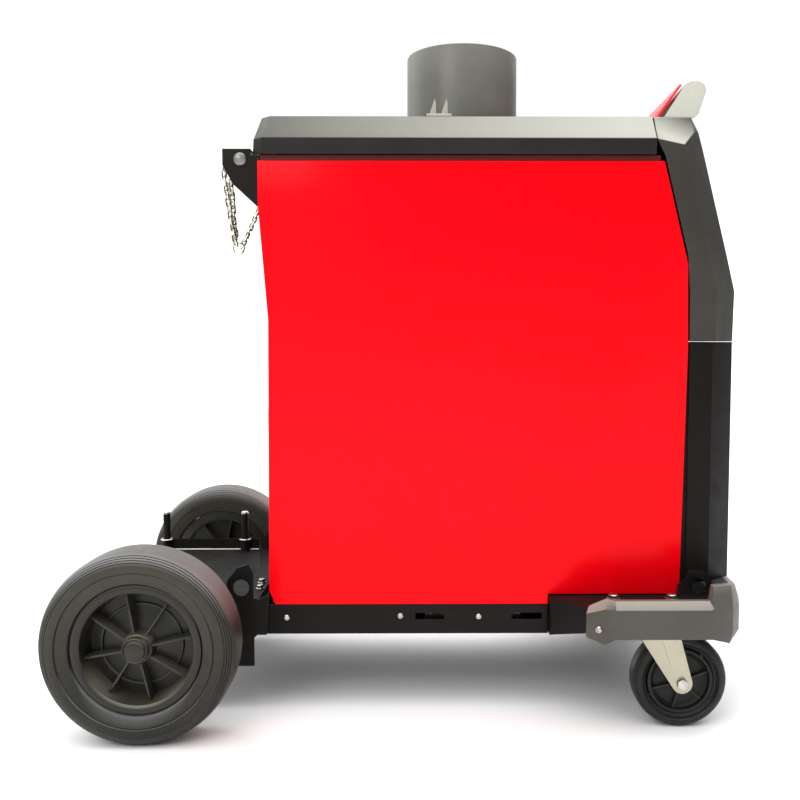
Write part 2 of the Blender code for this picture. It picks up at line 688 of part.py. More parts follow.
# ---- top ----------------------------------------------------------------
def handle():
    """Two forward-leaning arms with the grip bar between them and a plate behind."""
    foot = COVER_TOP
    lean = 0.60

    def leaned(piece):
        """Shear a piece so that both sides draw in towards the top."""
        for vertex in piece.data.vertices:
            side = 1 if vertex.co.y > 0 else -1
            vertex.co.y -= side * lean * (vertex.co.z - foot)
        return piece

    arm = [(0.3520, foot), (0.3890, foot), (0.3990, 0.8230), (0.4163, 0.8620),
           (0.4155, 0.8715), (0.4095, 0.8770), (0.3990, 0.8768), (0.3893, 0.8728)]
    frame = leaned(outline("push_handle", [arm], 0.1085, 0.1265, "Y", GREY))
    other = leaned(outline("arm", [arm], -0.1265, -0.1085, "Y", GREY))
    grip = [(0.3820, 0.8590), (0.3893, 0.8728), (0.3990, 0.8768), (0.4095, 0.8770),
            (0.4155, 0.8715), (0.4163, 0.8620), (0.4120, 0.8545), (0.3940, 0.8520)]
    join(frame, other, outline("bar", [grip], -0.0900, 0.0900, "Y", GREY))
    back = [(0.3405, foot), (0.3440, foot), (0.3845, 0.8715), (0.3822, 0.8732)]
    leaned(outline("handle_back_panel", [back], -0.1240, 0.1240, "Y", RED))


def cable_drum():
    """Open collar on the lid that the torch lead is wound round."""
    wall = 0.003
    floor = TRAY_FLOOR + GAP
    radius = DRUM_RADIUS
    profile = [(0.0, floor + wall), (radius - wall, floor + wall), (radius - wall, DRUM_TOP),
               (radius, DRUM_TOP), (radius, floor), (0.0, floor)]
    turned("cable_drum", profile, (DRUM_X, 0, 0), "Z", GREY, 48)


def cable_clip():
    """Two pointed fingers on the lid's edge that hold a lead."""
    base = box("cable_clip", (0.026, -0.127, COVER_TOP + GAP),
               (0.060, -0.115, COVER_TOP + 0.004), GREY)
    for low in (0.029, 0.045):
        shape = [(low, COVER_TOP + 0.002), (low + 0.010, COVER_TOP + 0.002), (low + 0.0095, 0.838),
                 (low + 0.008, 0.844)]
        join(base, outline("finger", [shape], -0.1225, -0.1195, "Y", GREY))


def bottle_cradle():
    """Notched shelf with two side gussets that a gas bottle leans against."""
    rear, front, top = -0.249, -0.2115, 0.7706
    rest = circle(0.105, 17, (-0.332, 0.0), start=-math.radians(52), sweep=math.radians(104))
    shelf = [(rear, -0.1485), (front, -0.1485), (front, 0.1485), (rear, 0.1485)]
    shelf = shelf + [(x, y) for x, y in reversed(rest) if x > rear + 0.001]
    cradle = outline("bottle_cradle", [shelf], top - 0.003, top, "Z")
    gusset = [(rear, top), (front, top), (front, 0.7620), (-0.2020, 0.7620),
              (-0.2020, 0.693), (-0.235, 0.7235), (rear, 0.749)]
    for side in (-1, 1):
        low, high = sorted((side * 0.1455, side * 0.1485))
        join(cradle, outline("gusset", [gusset], low, high))


def bottle_chain():
    """Safety chain between the gussets, as a plain bar along its hanging curve."""
    start = Vector((-0.2500, -0.1390, 0.744))
    end = Vector((-0.2500, 0.1390, 0.744))
    low = 0.647
    rise = start.z - low
    count = 31
    points = []
    for i in range(count):
        across = -1 + 2 * i / (count - 1)
        middle = start.lerp(end, i / (count - 1))
        sag = abs(across) ** 1.2
        points.append((middle.x - 0.011 * (1 - sag), middle.y, low + rise * sag))
    tube("bottle_chain", points, 0.004, ZINC, resolution=1)


# ---- rear fittings and internals ----------------------------------------
FAN = (-0.075, 0.400)


def rear_fittings():
    """Fan guard, fan, gas inlet and mains gland on the rear wall."""
    y, z = FAN
    x = -0.1890
    ring = outline("fan_guard", [circle(0.062, 32, FAN), circle(0.055, 32, FAN)],
                   x - 0.004, x, "X")
    for spoke in range(2):
        bar = box("bar", (x - 0.004, -0.058, -0.0015), (x, 0.058, 0.0015))
        bar.data.transform(Matrix.Rotation(math.pi / 2 * spoke, 4, "X"))
        bar.data.transform(Matrix.Translation((0, y, z)))
        join(ring, bar)
    blades = 7
    points = []
    for i in range(blades):
        turn = 2 * math.pi * i / blades
        for radius, offset in ((0.016, 0.0), (0.050, 0.10), (0.050, 0.62), (0.016, 0.50)):
            angle = turn + offset
            points.append((y + radius * math.cos(angle), z + radius * math.sin(angle)))
    outline("fan_rotor", [points], -0.180, -0.168, "X", PLASTIC)
    inlet = cylinder("gas_inlet", 0.0085, 0.014, (x - 0.007, 0.090, 0.470), "X", BRASS, 6)
    stem = cylinder("stem", 0.0055, 0.016, (x - 0.020, 0.090, 0.470), "X", BRASS, 16)
    join(inlet, stem)
    gland = cylinder("mains_gland", 0.015, 0.010, (x - 0.005, 0.090, 0.400), "X", PLASTIC, 6)
    dome = cylinder("dome", 0.0125, 0.018, (x - 0.017, 0.090, 0.400), "X", PLASTIC, 20)
    bore = cylinder("bore", 0.0065, 0.1, (x, 0.090, 0.400), "X", PLASTIC, 16)
    join(gland, dome)
    cut(gland, bore)


def power_modules():
    """Finned power module and main choke on the power side."""
    low, high, back = 0.320, 0.520, -0.125
    fins = 9
    pitch = (high - low) / fins
    comb = [(back, low)]
    for i in range(fins):
        z = low + i * pitch
        comb += [(-0.045, z), (-0.045, z + pitch * 0.45)]
        if i < fins - 1:
            comb += [(back + 0.025, z + pitch * 0.45), (back + 0.025, z + pitch)]
    comb += [(back, low + (fins - 1) * pitch + pitch * 0.45)]
    outline("power_module", [comb], -0.100, 0.120, "X", ALUMINIUM)
    core = box("output_choke", (0.020, -0.130, RAIL_BOTTOM + 0.0035), (0.160, -0.025, 0.235),
               STEEL, 0.003)
    coil = box("coil", (0.045, -0.137, 0.135), (0.135, -0.018, 0.205), COPPER, 0.012)
    join(core, coil)


ROLL = (0.215, 0.480)
ARM_PIVOT = (0.165, 0.538)


def wire_feeder():
    """Feed plate, motor, grooved roll, pressure arm and spool hub."""
    x, z = ROLL
    plate = box("feeder_plate", (0.130, 0.0015, 0.420), (0.300, 0.0065, 0.590), ALUMINIUM)
    cut(plate, cylinder("bore", 0.012, 0.03, (x, 0.004, z), "Y", sides=20))
    motor = cylinder("feed_motor", 0.030, 0.070, (x, -0.0365, z), "Y", STEEL, 28)
    shaft = cylinder("shaft", 0.006, 0.022, (x, 0.000, z), "Y", STEEL, 16)
    join(motor, shaft)
    roll = [(0.0, 0.0), (0.019, 0.0), (0.019, 0.005), (0.0175, 0.006), (0.019, 0.007),
            (0.019, 0.012), (0.0, 0.012)]
    turned("drive_roll", roll, (x, 0.0235, z), "Y", STEEL, 28)
    level = ARM_PIVOT[1]
    shape = [(0.155, level - 0.012), (0.175, level - 0.012), (0.190, level - 0.006),
             (0.275, level - 0.006), (0.275, level + 0.010), (0.155, level + 0.012)]
    arm = outline("pressure_arm", [shape], 0.0095, 0.0255, "Y", PLASTIC)
    idler = cylinder("idler", 0.0175, 0.010, (x, 0.0175, z + 0.019 + 0.0175 + 0.001), "Y",
                     STEEL, 24)
    boss = cylinder("boss", 0.0075, 0.004, (ARM_PIVOT[0], 0.0090, level), "Y", STEEL, 16)
    join(arm, idler, boss)
    turned("tension_knob", [(0.0, 0.0), (0.005, 0.0), (0.005, 0.004), (0.010, 0.006),
                            (0.010, 0.026), (0.007, 0.030), (0.0, 0.030)],
           (0.262, 0.0175, level + 0.0105), "Z", PLASTIC, 20)
    hub = [(0.0, 0.0), (0.030, 0.0), (0.030, 0.006), (0.024, 0.008), (0.024, 0.075),
           (0.018, 0.078), (0.018, 0.094), (0.0, 0.094)]
    turned("spool_hub", hub, (-0.030, 0.0965, 0.585), "Y", PLASTIC, 28)


# ---- assembly -----------------------------------------------------------
chassis_tray()
rear_platform()
cylinder("rear_axle", AXLE_RADIUS, 2 * 0.266, (WHEEL_X, 0, WHEEL_RADIUS), "Y", STEEL, 24)
for label, side in (("right", -1), ("left", 1)):
    axle_bracket("axle_bracket_" + label, side)
    rear_wheel(label, side)
    caster(label, side)
front_crossmember()
front_bumper()
side_panels()
spool_door()
rear_panel()
partition()
top_cover()
front_frame()
control_panel()
lower_front_panel()
front_sockets()
handle()
cable_drum()
cable_clip()
bottle_cradle()
bottle_chain()
rear_fittings()
power_modules()
wire_feeder()
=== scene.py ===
"""Looks of the wheeled arc welding machine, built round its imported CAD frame."""
import json
import math

import bmesh
import bpy
from mathutils import Matrix, Vector

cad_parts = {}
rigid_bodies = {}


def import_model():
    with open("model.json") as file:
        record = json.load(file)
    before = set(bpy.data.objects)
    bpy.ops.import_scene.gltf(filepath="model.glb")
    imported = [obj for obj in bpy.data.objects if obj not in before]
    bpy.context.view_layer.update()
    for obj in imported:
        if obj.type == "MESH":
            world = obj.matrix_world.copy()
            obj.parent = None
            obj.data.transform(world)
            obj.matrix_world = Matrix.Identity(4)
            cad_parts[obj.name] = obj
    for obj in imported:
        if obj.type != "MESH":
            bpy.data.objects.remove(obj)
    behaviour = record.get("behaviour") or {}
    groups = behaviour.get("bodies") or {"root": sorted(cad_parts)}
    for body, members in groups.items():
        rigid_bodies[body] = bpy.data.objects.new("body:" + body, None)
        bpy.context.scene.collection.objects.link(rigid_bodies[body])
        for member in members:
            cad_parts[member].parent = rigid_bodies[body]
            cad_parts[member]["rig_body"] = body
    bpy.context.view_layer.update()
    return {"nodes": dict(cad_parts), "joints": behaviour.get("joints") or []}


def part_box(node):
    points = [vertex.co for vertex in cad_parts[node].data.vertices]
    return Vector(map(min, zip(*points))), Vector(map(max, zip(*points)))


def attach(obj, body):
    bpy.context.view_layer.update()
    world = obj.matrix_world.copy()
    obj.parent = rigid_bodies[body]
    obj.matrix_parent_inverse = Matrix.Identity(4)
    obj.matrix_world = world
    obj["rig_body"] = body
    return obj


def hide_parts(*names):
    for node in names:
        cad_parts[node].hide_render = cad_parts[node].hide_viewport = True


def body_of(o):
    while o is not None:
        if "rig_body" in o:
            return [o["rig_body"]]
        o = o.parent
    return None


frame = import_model()

GAP = 0.0004
TURN = 2 * math.pi


# ---- node materials -----------------------------------------------------
class Finish:
    """Small builder for a procedural Principled material."""

    def __init__(self, name, colour, roughness, metallic=0.0):
        self.material = bpy.data.materials.new(name)
        self.material.use_nodes = True
        self.tree = self.material.node_tree
        self.shader = self.tree.nodes["Principled BSDF"]
        self.shader.inputs["Base Color"].default_value = (*colour, 1.0)
        self.shader.inputs["Roughness"].default_value = roughness
        self.shader.inputs["Metallic"].default_value = metallic
        self.colour = colour
        self.place = self.tree.nodes.new("ShaderNodeTexCoord").outputs["Object"]

    def node(self, kind, **values):
        """New shader node with its plain settings and input values."""
        made = self.tree.nodes.new(kind)
        for key, value in values.items():
            if key in made.inputs:
                made.inputs[key].default_value = value
            else:
                setattr(made, key, value)
        return made

    def link(self, source, target):
        """Link an output to an input."""
        self.tree.links.new(source, target)

    def stretched(self, scale):
        """Object coordinates scaled by axis, for brushed or drawn surfaces."""
        mapping = self.node("ShaderNodeMapping")
        mapping.inputs["Scale"].default_value = scale
        self.link(self.place, mapping.inputs["Vector"])
        return mapping.outputs["Vector"]

    def product(self, first, second):
        """Product of two values."""
        both = self.node("ShaderNodeMath", operation="MULTIPLY")
        self.link(first, both.inputs[0])
        self.link(second, both.inputs[1])
        return both.outputs["Value"]

    def along(self, source, axis):
        """One part of a vector."""
        split = self.node("ShaderNodeSeparateXYZ")
        self.link(source, split.inputs["Vector"])
        return split.outputs[axis]

    def noise(self, scale, detail=3.0, place=None):
        """Noise texture output."""
        texture = self.node("ShaderNodeTexNoise", Scale=scale, Detail=detail, Roughness=0.55)
        self.link(place or self.place, texture.inputs["Vector"])
        return texture.outputs["Fac"]

    def spread(self, source, low, high, to_low, to_high):
        """Map a range of values onto another one."""
        mapped = self.node("ShaderNodeMapRange")
        for key, value in zip(("From Min", "From Max", "To Min", "To Max"),
                              (low, high, to_low, to_high)):
            mapped.inputs[key].default_value = value
        self.link(source, mapped.inputs["Value"])
        return mapped.outputs["Result"]

    def tint(self, factor, colour):
        """Mix another colour over the base by a factor."""
        mix = self.node("ShaderNodeMix", data_type="RGBA")
        first, second = [s for s in mix.inputs if s.name in ("A", "B") and s.type == "RGBA"]
        source = self.shader.inputs["Base Color"]
        if source.is_linked:
            self.link(source.links[0].from_socket, first)
        else:
            first.default_value = (*self.colour, 1.0)
        second.default_value = (*colour, 1.0)
        self.link(factor, mix.inputs["Factor"])
        result = [s for s in mix.outputs if s.type == "RGBA"][0]
        self.link(result, source)

    def rough(self, source, low, high):
        """Roughness varied by a value."""
        self.link(self.spread(source, 0.3, 0.7, low, high), self.shader.inputs["Roughness"])

    def bump(self, source, strength, distance):
        """Surface relief, stacked on what is there already."""
        relief = self.node("ShaderNodeBump", Strength=strength, Distance=distance)
        self.link(source, relief.inputs["Height"])
        normal = self.shader.inputs["Normal"]
        if normal.is_linked:
            self.link(normal.links[0].from_socket, relief.inputs["Normal"])
        self.link(relief.outputs["Normal"], normal)

    def upward_dust_and_sheen(self, colour, amount=0.8, flat=0.3, sheen_fade_x=None):
        """Pale tint on sloping upward faces, less on level ones, weaker one way along X: partly
        dust, partly painted highlight of the light from above.
        """
        upward = self.along(self.node("ShaderNodeNewGeometry").outputs["Normal"], "Z")
        share = self.product(self.spread(upward, 0.22, 0.60, 0.0, amount),
                             self.spread(upward, 0.80, 0.97, 1.0, flat))
        if sheen_fade_x:
            share = self.product(share, self.spread(self.along(self.place, "X"), *sheen_fade_x))
        self.tint(share, colour)

    def graded(self, colour, axis, low, high, amount):
        """Another colour that comes in along one axis."""
        self.tint(self.spread(self.along(self.place, axis), low, high, 0.0, amount), colour)

    def worn_and_highlit_edges(self, colour, amount):
        """Lighter colour on convex edges: partly wear, partly painted edge highlight."""
        pointiness = self.node("ShaderNodeNewGeometry").outputs["Pointiness"]
        self.tint(self.spread(pointiness, 0.51, 0.60, 0.0, amount), colour)


def painted(name, colour, roughness, coat, peel, mottle, gleam=0.25):
    """Powder coat: fine orange peel, faint mottle and a clear coat."""
    made = Finish(name, colour, roughness)
    made.shader.inputs["Specular IOR Level"].default_value = gleam
    made.tint(made.spread(made.noise(3.0), 0.35, 0.70, 0.0, mottle),
              [min(1.0, c * 1.35 + 0.004) for c in colour])
    made.rough(made.noise(40.0), roughness * 0.85, roughness * 1.2)
    made.bump(made.noise(900.0, 2.0), peel, 0.0004)
    made.shader.inputs["Coat Weight"].default_value = coat
    made.shader.inputs["Coat Roughness"].default_value = 0.12
    return made.material


def moulded(name, colour, roughness, grain, dust, dust_and_sheen=None, sheen_fade_x=None, gleam=0.35):
    """Moulded plastic: spark grain, rubbed patches and pale dust, with a pale tint on upward
    slopes that is partly dust and partly painted highlight, and lighter convex edges that are
    partly wear and partly painted edge highlight.
    """
    made = Finish(name, colour, roughness)
    made.shader.inputs["Specular IOR Level"].default_value = gleam
    pale = [c * 1.7 + 0.010 for c in colour]
    made.tint(made.spread(made.noise(9.0, 5.0), 0.42, 0.72, 0.0, dust), pale)
    # Painted highlight on upward slopes, partly dust.
    if dust_and_sheen:
        made.upward_dust_and_sheen(dust_and_sheen, sheen_fade_x=sheen_fade_x)
    # Lighter convex edges: partly wear, partly painted edge highlight.
    made.worn_and_highlit_edges([c * 2.2 + 0.02 for c in colour], 0.45)
    made.rough(made.noise(55.0), roughness * 0.88, roughness * 1.14)
    made.bump(made.noise(1600.0, 2.0), grain, 0.0004)
    return made.material


def rubber(name, colour, roughness, dust_and_sheen=0.03, painted_top_light=None):
    """Tyre rubber with dusty patches, fine pitting, a pale tint on upward faces that is partly
    dust and partly painted highlight, and a painted lighter upper half as if lit from above.
    """
    made = Finish(name, colour, roughness)
    if painted_top_light:
        # Painted light: the upper half of the tyre, in its own coordinates, turns lighter as if
        # lit from above.
        made.graded(painted_top_light, "Z", 0.02, 0.20, 1.0)
    made.tint(made.spread(made.noise(22.0, 6.0), 0.40, 0.75, 0.0, 0.6),
              [c * 1.9 + 0.012 for c in colour])
    made.tint(made.spread(made.noise(160.0, 3.0), 0.60, 0.72, 0.0, 0.5),
              [c * 2.4 + 0.02 for c in colour])
    # Pale tint on upward faces: partly dust, partly painted highlight.
    made.upward_dust_and_sheen([c * 1.2 + dust_and_sheen for c in colour], 0.75, 0.6)
    made.shader.inputs["Specular IOR Level"].default_value = 0.3
    made.rough(made.noise(70.0), roughness * 0.85, roughness * 1.15)
    made.bump(made.noise(1200.0, 3.0), 0.35, 0.0005)
    made.bump(made.noise(60.0, 3.0), 0.15, 0.0010)
    return made.material


def plated(name, colour, second, roughness, brushed=(1.0, 1.0, 1.0), patch=14.0):
    """Plated or bare metal: two tones in soft patches and a drawn grain."""
    made = Finish(name, colour, roughness, 1.0)
    made.tint(made.spread(made.noise(patch, 4.0), 0.40, 0.62, 0.0, 0.85), second)
    grain = made.noise(240.0, 4.0, place=made.stretched(brushed))
    made.rough(grain, roughness * 0.75, roughness * 1.35)
    made.bump(grain, 0.12, 0.0003)
    return made.material


def glass(name, colour):
    """Dark polished window with faint smears."""
    made = Finish(name, colour, 0.06)
    made.rough(made.noise(18.0, 4.0), 0.04, 0.12)
    made.shader.inputs["Coat Weight"].default_value = 0.6
    return made.material


def glowing(name, colour, strength):
    """Lit segment of a display or lamp."""
    made = Finish(name, colour, 0.4)
    made.tint(made.noise(300.0), [c * 0.8 for c in colour])
    made.shader.inputs["Emission Color"].default_value = (*colour, 1.0)
    made.shader.inputs["Emission Strength"].default_value = strength
    return made.material


# Pale colour for upward slopes: partly dust, partly painted highlight.
PALE_DUST_AND_SHEEN = (0.56, 0.56, 0.49)

RED = painted("red_gloss_coat", (0.90, 0.0006, 0.0050), 0.22, 0.05, 0.05, 0.0, 0.06)
# Darker red for the strips under the lid rim: painted shade of the rim's overhang.
RED_IN_PAINTED_SHADE = painted("red_coat_painted_shade", (0.085, 0.004, 0.005), 0.40, 0.0, 0.10, 0.2)
BLACK = painted("black_satin_coat", (0.0062, 0.0050, 0.0044), 0.48, 0.0, 0.35, 0.5, 0.12)
# The pale colours given for upward slopes below paint a highlight there, partly dust.
FRAME_GREY = moulded("dark_grey_moulding", (0.030, 0.0280, 0.0230), 0.58, 0.55, 0.45,
                     dust_and_sheen=PALE_DUST_AND_SHEEN, gleam=0.18)
# On the lid the painted highlight on upward slopes grows from the rear toward the front along X.
LID_GREY = moulded("lid_grey_moulding", (0.0110, 0.0095, 0.0082), 0.52, 0.40, 0.35,
                   dust_and_sheen=PALE_DUST_AND_SHEEN, sheen_fade_x=(-0.20, 0.30, 0.20, 1.0), gleam=0.15)
HANDLE_GREY = moulded("handle_moulding", (0.27, 0.27, 0.23), 0.42, 0.40, 0.35,
                      dust_and_sheen=(0.36, 0.36, 0.30))
DRUM_GREY = moulded("drum_grey_moulding", (0.110, 0.110, 0.092), 0.34, 0.25, 0.35,
                    gleam=0.45)
BUMPER_GREY = moulded("bumper_moulding", (0.054, 0.0525, 0.0430), 0.42, 0.45, 0.40,
                      dust_and_sheen=(0.38, 0.36, 0.31))
BLACK_PLASTIC = moulded("black_moulding", (0.0060, 0.0057, 0.0050), 0.42, 0.35, 0.25,
                        gleam=0.25)
RIM_PLASTIC = moulded("rim_moulding", (0.0125, 0.0115, 0.0078), 0.34, 0.25, 0.15,
                      dust_and_sheen=(0.15, 0.145, 0.110), gleam=0.32)
# The tyre's last colour paints its upper half lighter, as if lit from above.
TYRE = rubber("tyre_rubber_dust_and_lit_top", (0.0085, 0.0080, 0.0056), 0.50, 0.20,
              (0.036, 0.0340, 0.0235))
CASTER_TYRE = rubber("caster_rubber", (0.0050, 0.0048, 0.0044), 0.45)
MAT_RUBBER = rubber("mat_rubber", (0.020, 0.020, 0.019), 0.80)
ZINC = plated("yellowed_zinc", (0.42, 0.41, 0.32), (0.34, 0.315, 0.20), 0.34, patch=10.0)
CHAIN_METAL = plated("chain_zinc", (0.86, 0.85, 0.78), (0.62, 0.59, 0.46), 0.28, patch=120.0)
STEEL = plated("bolt_steel", (0.56, 0.55, 0.52), (0.40, 0.39, 0.36), 0.28, (1, 1, 6), 60.0)
DULL_STEEL = plated("dull_steel", (0.24, 0.235, 0.22), (0.15, 0.145, 0.13), 0.40, patch=60.0)
BRASS = plated("turned_brass", (0.80, 0.60, 0.25), (0.66, 0.46, 0.18), 0.26, (6, 1, 1), 60.0)
ALUMINIUM = plated("mill_aluminium", (0.72, 0.73, 0.74), (0.62, 0.63, 0.65), 0.38, (1, 1, 12))
GALVANISED = plated("galvanised_sheet", (0.30, 0.31, 0.32), (0.22, 0.23, 0.24), 0.45,
                    patch=6.0)
SCREEN = glass("display_glass", (0.006, 0.008, 0.011))
LIT_RED = glowing("lit_red", (1.0, 0.10, 0.05), 2.2)
LIT_GREEN = glowing("lit_green", (0.15, 1.0, 0.25), 1.8)
PRINT = moulded("pale_print", (0.62, 0.62, 0.60), 0.55, 0.05, 0.1)


# ---- making pieces ------------------------------------------------------
def add_piece(name, form, material, body, crease=38.0):
    """Object from a bmesh, smooth with sharp creases, riding on a body."""
    mesh = bpy.data.meshes.new(name)
    bmesh.ops.recalc_face_normals(form, faces=form.faces)
    form.to_mesh(mesh)
    form.free()
    piece = bpy.data.objects.new(name, mesh)
    bpy.context.scene.collection.objects.link(piece)
    mesh.materials.append(material)
    mesh.shade_smooth()
    mesh.set_sharp_from_angle(angle=math.radians(crease))
    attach(piece, body)
    return piece


def soften(form, width, segments=2, angle=28.0):
    """Round the edges of a form that turn by more than an angle."""
    limit = math.radians(angle)
    edges = [e for e in form.edges if len(e.link_faces) == 2
             and e.calc_face_angle(0.0) > limit]
    if edges:
        bmesh.ops.bevel(form, geom=edges, offset=width, segments=segments, profile=0.6,
                        affect="EDGES", clamp_overlap=True)


def home(node):
    """Name of the CAD body that a node belongs to."""
    return body_of(frame["nodes"][node])[0]


def refine(node, material, width, segments):
    """Stand a soft-edged copy in for a CAD node, in the same place and size."""
    form = bmesh.new()
    form.from_mesh(frame["nodes"][node].data)
    bmesh.ops.remove_doubles(form, verts=form.verts, dist=0.00002)
    bmesh.ops.dissolve_limit(form, angle_limit=math.radians(0.6), verts=form.verts,
                             edges=form.edges)
    if width:
        soften(form, width, segments, 30.0)
    piece = add_piece(node + "_finish", form, material, home(node), 35.0)
    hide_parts(node)
    return piece


def absorb(form, part):
    """Add one form to another and free it."""
    spare = bpy.data.meshes.new("spare")
    part.to_mesh(spare)
    part.free()
    form.from_mesh(spare)
    bpy.data.meshes.remove(spare)


def block(form, low, high):
    """Add a box between two corners."""
    made = bmesh.ops.create_cube(form, size=1.0)["verts"]
    size = [b - a for a, b in zip(low, high)]
    middle = [(a + b) / 2 for a, b in zip(low, high)]
    bmesh.ops.scale(form, vec=size, verts=made)
    bmesh.ops.translate(form, vec=middle, verts=made)


FACING = {
    "X": Matrix(((0, 0, 1, 0), (1, 0, 0, 0), (0, 1, 0, 0), (0, 0, 0, 1))),
    "-X": Matrix(((0, 0, -1, 0), (-1, 0, 0, 0), (0, 1, 0, 0), (0, 0, 0, 1))),
    "Y": Matrix(((-1, 0, 0, 0), (0, 0, 1, 0), (0, 1, 0, 0), (0, 0, 0, 1))),
    "-Y": Matrix(((1, 0, 0, 0), (0, 0, -1, 0), (0, 1, 0, 0), (0, 0, 0, 1))),
    "Z": Matrix.Identity(4),
}


def aim(axis, place):
    """Matrix that stands local +Z on a named axis at a place."""
    return Matrix.Translation(Vector(place)) @ FACING[axis]


def lathe(form, profile, matrix, steps=64, closed=False):
    """Add a turned shape of (radius, height) points, open at the axis points."""
    rings = []
    for radius, height in profile:
        if radius < 0.000001:
            rings.append([form.verts.new(matrix @ Vector((0, 0, height)))])
            continue
        rings.append([form.verts.new(matrix @ Vector((radius * math.cos(TURN * i / steps),
                                                      radius * math.sin(TURN * i / steps),
                                                      height))) for i in range(steps)])
    pairs = list(zip(rings, rings[1:]))
    if closed:
        pairs.append((rings[-1], rings[0]))
    for lower, upper in pairs:
        for i in range(steps):
            j = (i + 1) % steps
            corners = [lower[i % len(lower)], lower[j % len(lower)],
                       upper[j % len(upper)], upper[i % len(upper)]]
            unique = list(dict.fromkeys(corners))
            if len(unique) > 2:
                form.faces.new(unique)


def prism(form, points, matrix, height):
    """Add a flat outline, extruded along local +Z."""
    low = [form.verts.new(matrix @ Vector((x, y, 0))) for x, y in points]
    top = [form.verts.new(matrix @ Vector((x, y, height))) for x, y in points]
    count = len(points)
    form.faces.new(low[::-1])
    form.faces.new(top)
    for i in range(count):
        j = (i + 1) % count
        form.faces.new((low[i], low[j], top[j], top[i]))


def bar(form, matrix, width, height, depth, spin=0.0):
    """Add a small flat bar that lies on a face."""
    half_w, half_h = width / 2, height / 2
    points = [(-half_w, -half_h), (half_w, -half_h), (half_w, half_h), (-half_w, half_h)]
    prism(form, points, matrix @ Matrix.Rotation(spin, 4, "Z"), depth)


def ring_points(radius, count):
    """Points round a circle."""
    return [(radius * math.cos(TURN * i / count), radius * math.sin(TURN * i / count))
            for i in range(count)]


def wire(form, points, radius, sides=10, closed=False):
    """Add a round wire along points, with flat ends when it is open."""
    count = len(points)
    rings = []
    normal = None
    for i, point in enumerate(points):
        before = points[(i - 1) % count] if closed or i else point
        after = points[(i + 1) % count] if closed or i < count - 1 else point
        tangent = (after - before).normalized()
        if normal is None:
            side = Vector((0, 0, 1)) if abs(tangent.z) < 0.9 else Vector((1, 0, 0))
            normal = tangent.cross(side).normalized()
        normal = (normal - tangent * normal.dot(tangent)).normalized()
        other = tangent.cross(normal)
        rings.append([form.verts.new(point + radius * (math.cos(TURN * k / sides) * normal
                                                       + math.sin(TURN * k / sides) * other))
                      for k in range(sides)])
    pairs = list(zip(rings, rings[1:]))
    if closed:
        pairs.append((rings[-1], rings[0]))
    for lower, upper in pairs:
        for k in range(sides):
            m = (k + 1) % sides
            form.faces.new((lower[k], lower[m], upper[m], upper[k]))
    if not closed:
        form.faces.new(rings[0][::-1])
        form.faces.new(rings[-1])


def button_screw(form, place, axis, radius=0.005, height=0.0028):
    """Domed screw head with a hexagon socket."""
    matrix = aim(axis, place)
    bore = radius * 0.45
    lathe(form, [(bore, height * 0.35), (bore, height * 0.98), (radius * 0.62, height),
                 (radius * 0.90, height * 0.62), (radius, height * 0.15), (radius, 0.0)],
          matrix, 24)
    prism(form, ring_points(bore, 6), matrix, height * 0.35)


def hex_bolt(form, place, axis, across=0.013, height=0.0055, washer=0.0095):
    """Hexagon head on a washer, with a chamfered top."""
    matrix = aim(axis, place)
    lathe(form, [(0.0, 0.0), (washer, 0.0), (washer, 0.0011), (washer * 0.94, 0.0015),
                 (0.0, 0.0015)], matrix, 28)
    radius = across / 2 / math.cos(math.pi / 6)
    base = matrix @ Matrix.Translation((0, 0, 0.0015))
    prism(form, ring_points(radius, 6), base, height * 0.82)
    top = base @ Matrix.Translation((0, 0, height * 0.82))
    lathe(form, [(radius * 0.95, 0.0), (radius * 0.80, height * 0.18), (0.0, height * 0.18)],
          top, 24)


def pan_screw(form, place, axis, radius=0.0042, height=0.0022):
    """Small pan head with a cross recess."""
    matrix = aim(axis, place)
    lathe(form, [(0.0, height), (radius * 0.55, height * 0.96), (radius * 0.9, height * 0.6),
                 (radius, 0.0)], matrix, 20)
    for turn in range(2):
        bar(form, matrix @ Matrix.Translation((0, 0, height * 0.9)), radius * 1.1,
            radius * 0.24, height * 0.14, math.pi / 2 * turn)


def fasteners(name, kind, places, material, body="machine", **sizes):
    """One piece of many like fasteners."""
    form = bmesh.new()
    for place, axis in places:
        kind(form, place, axis, **sizes)
    return add_piece(name, form, material, body)


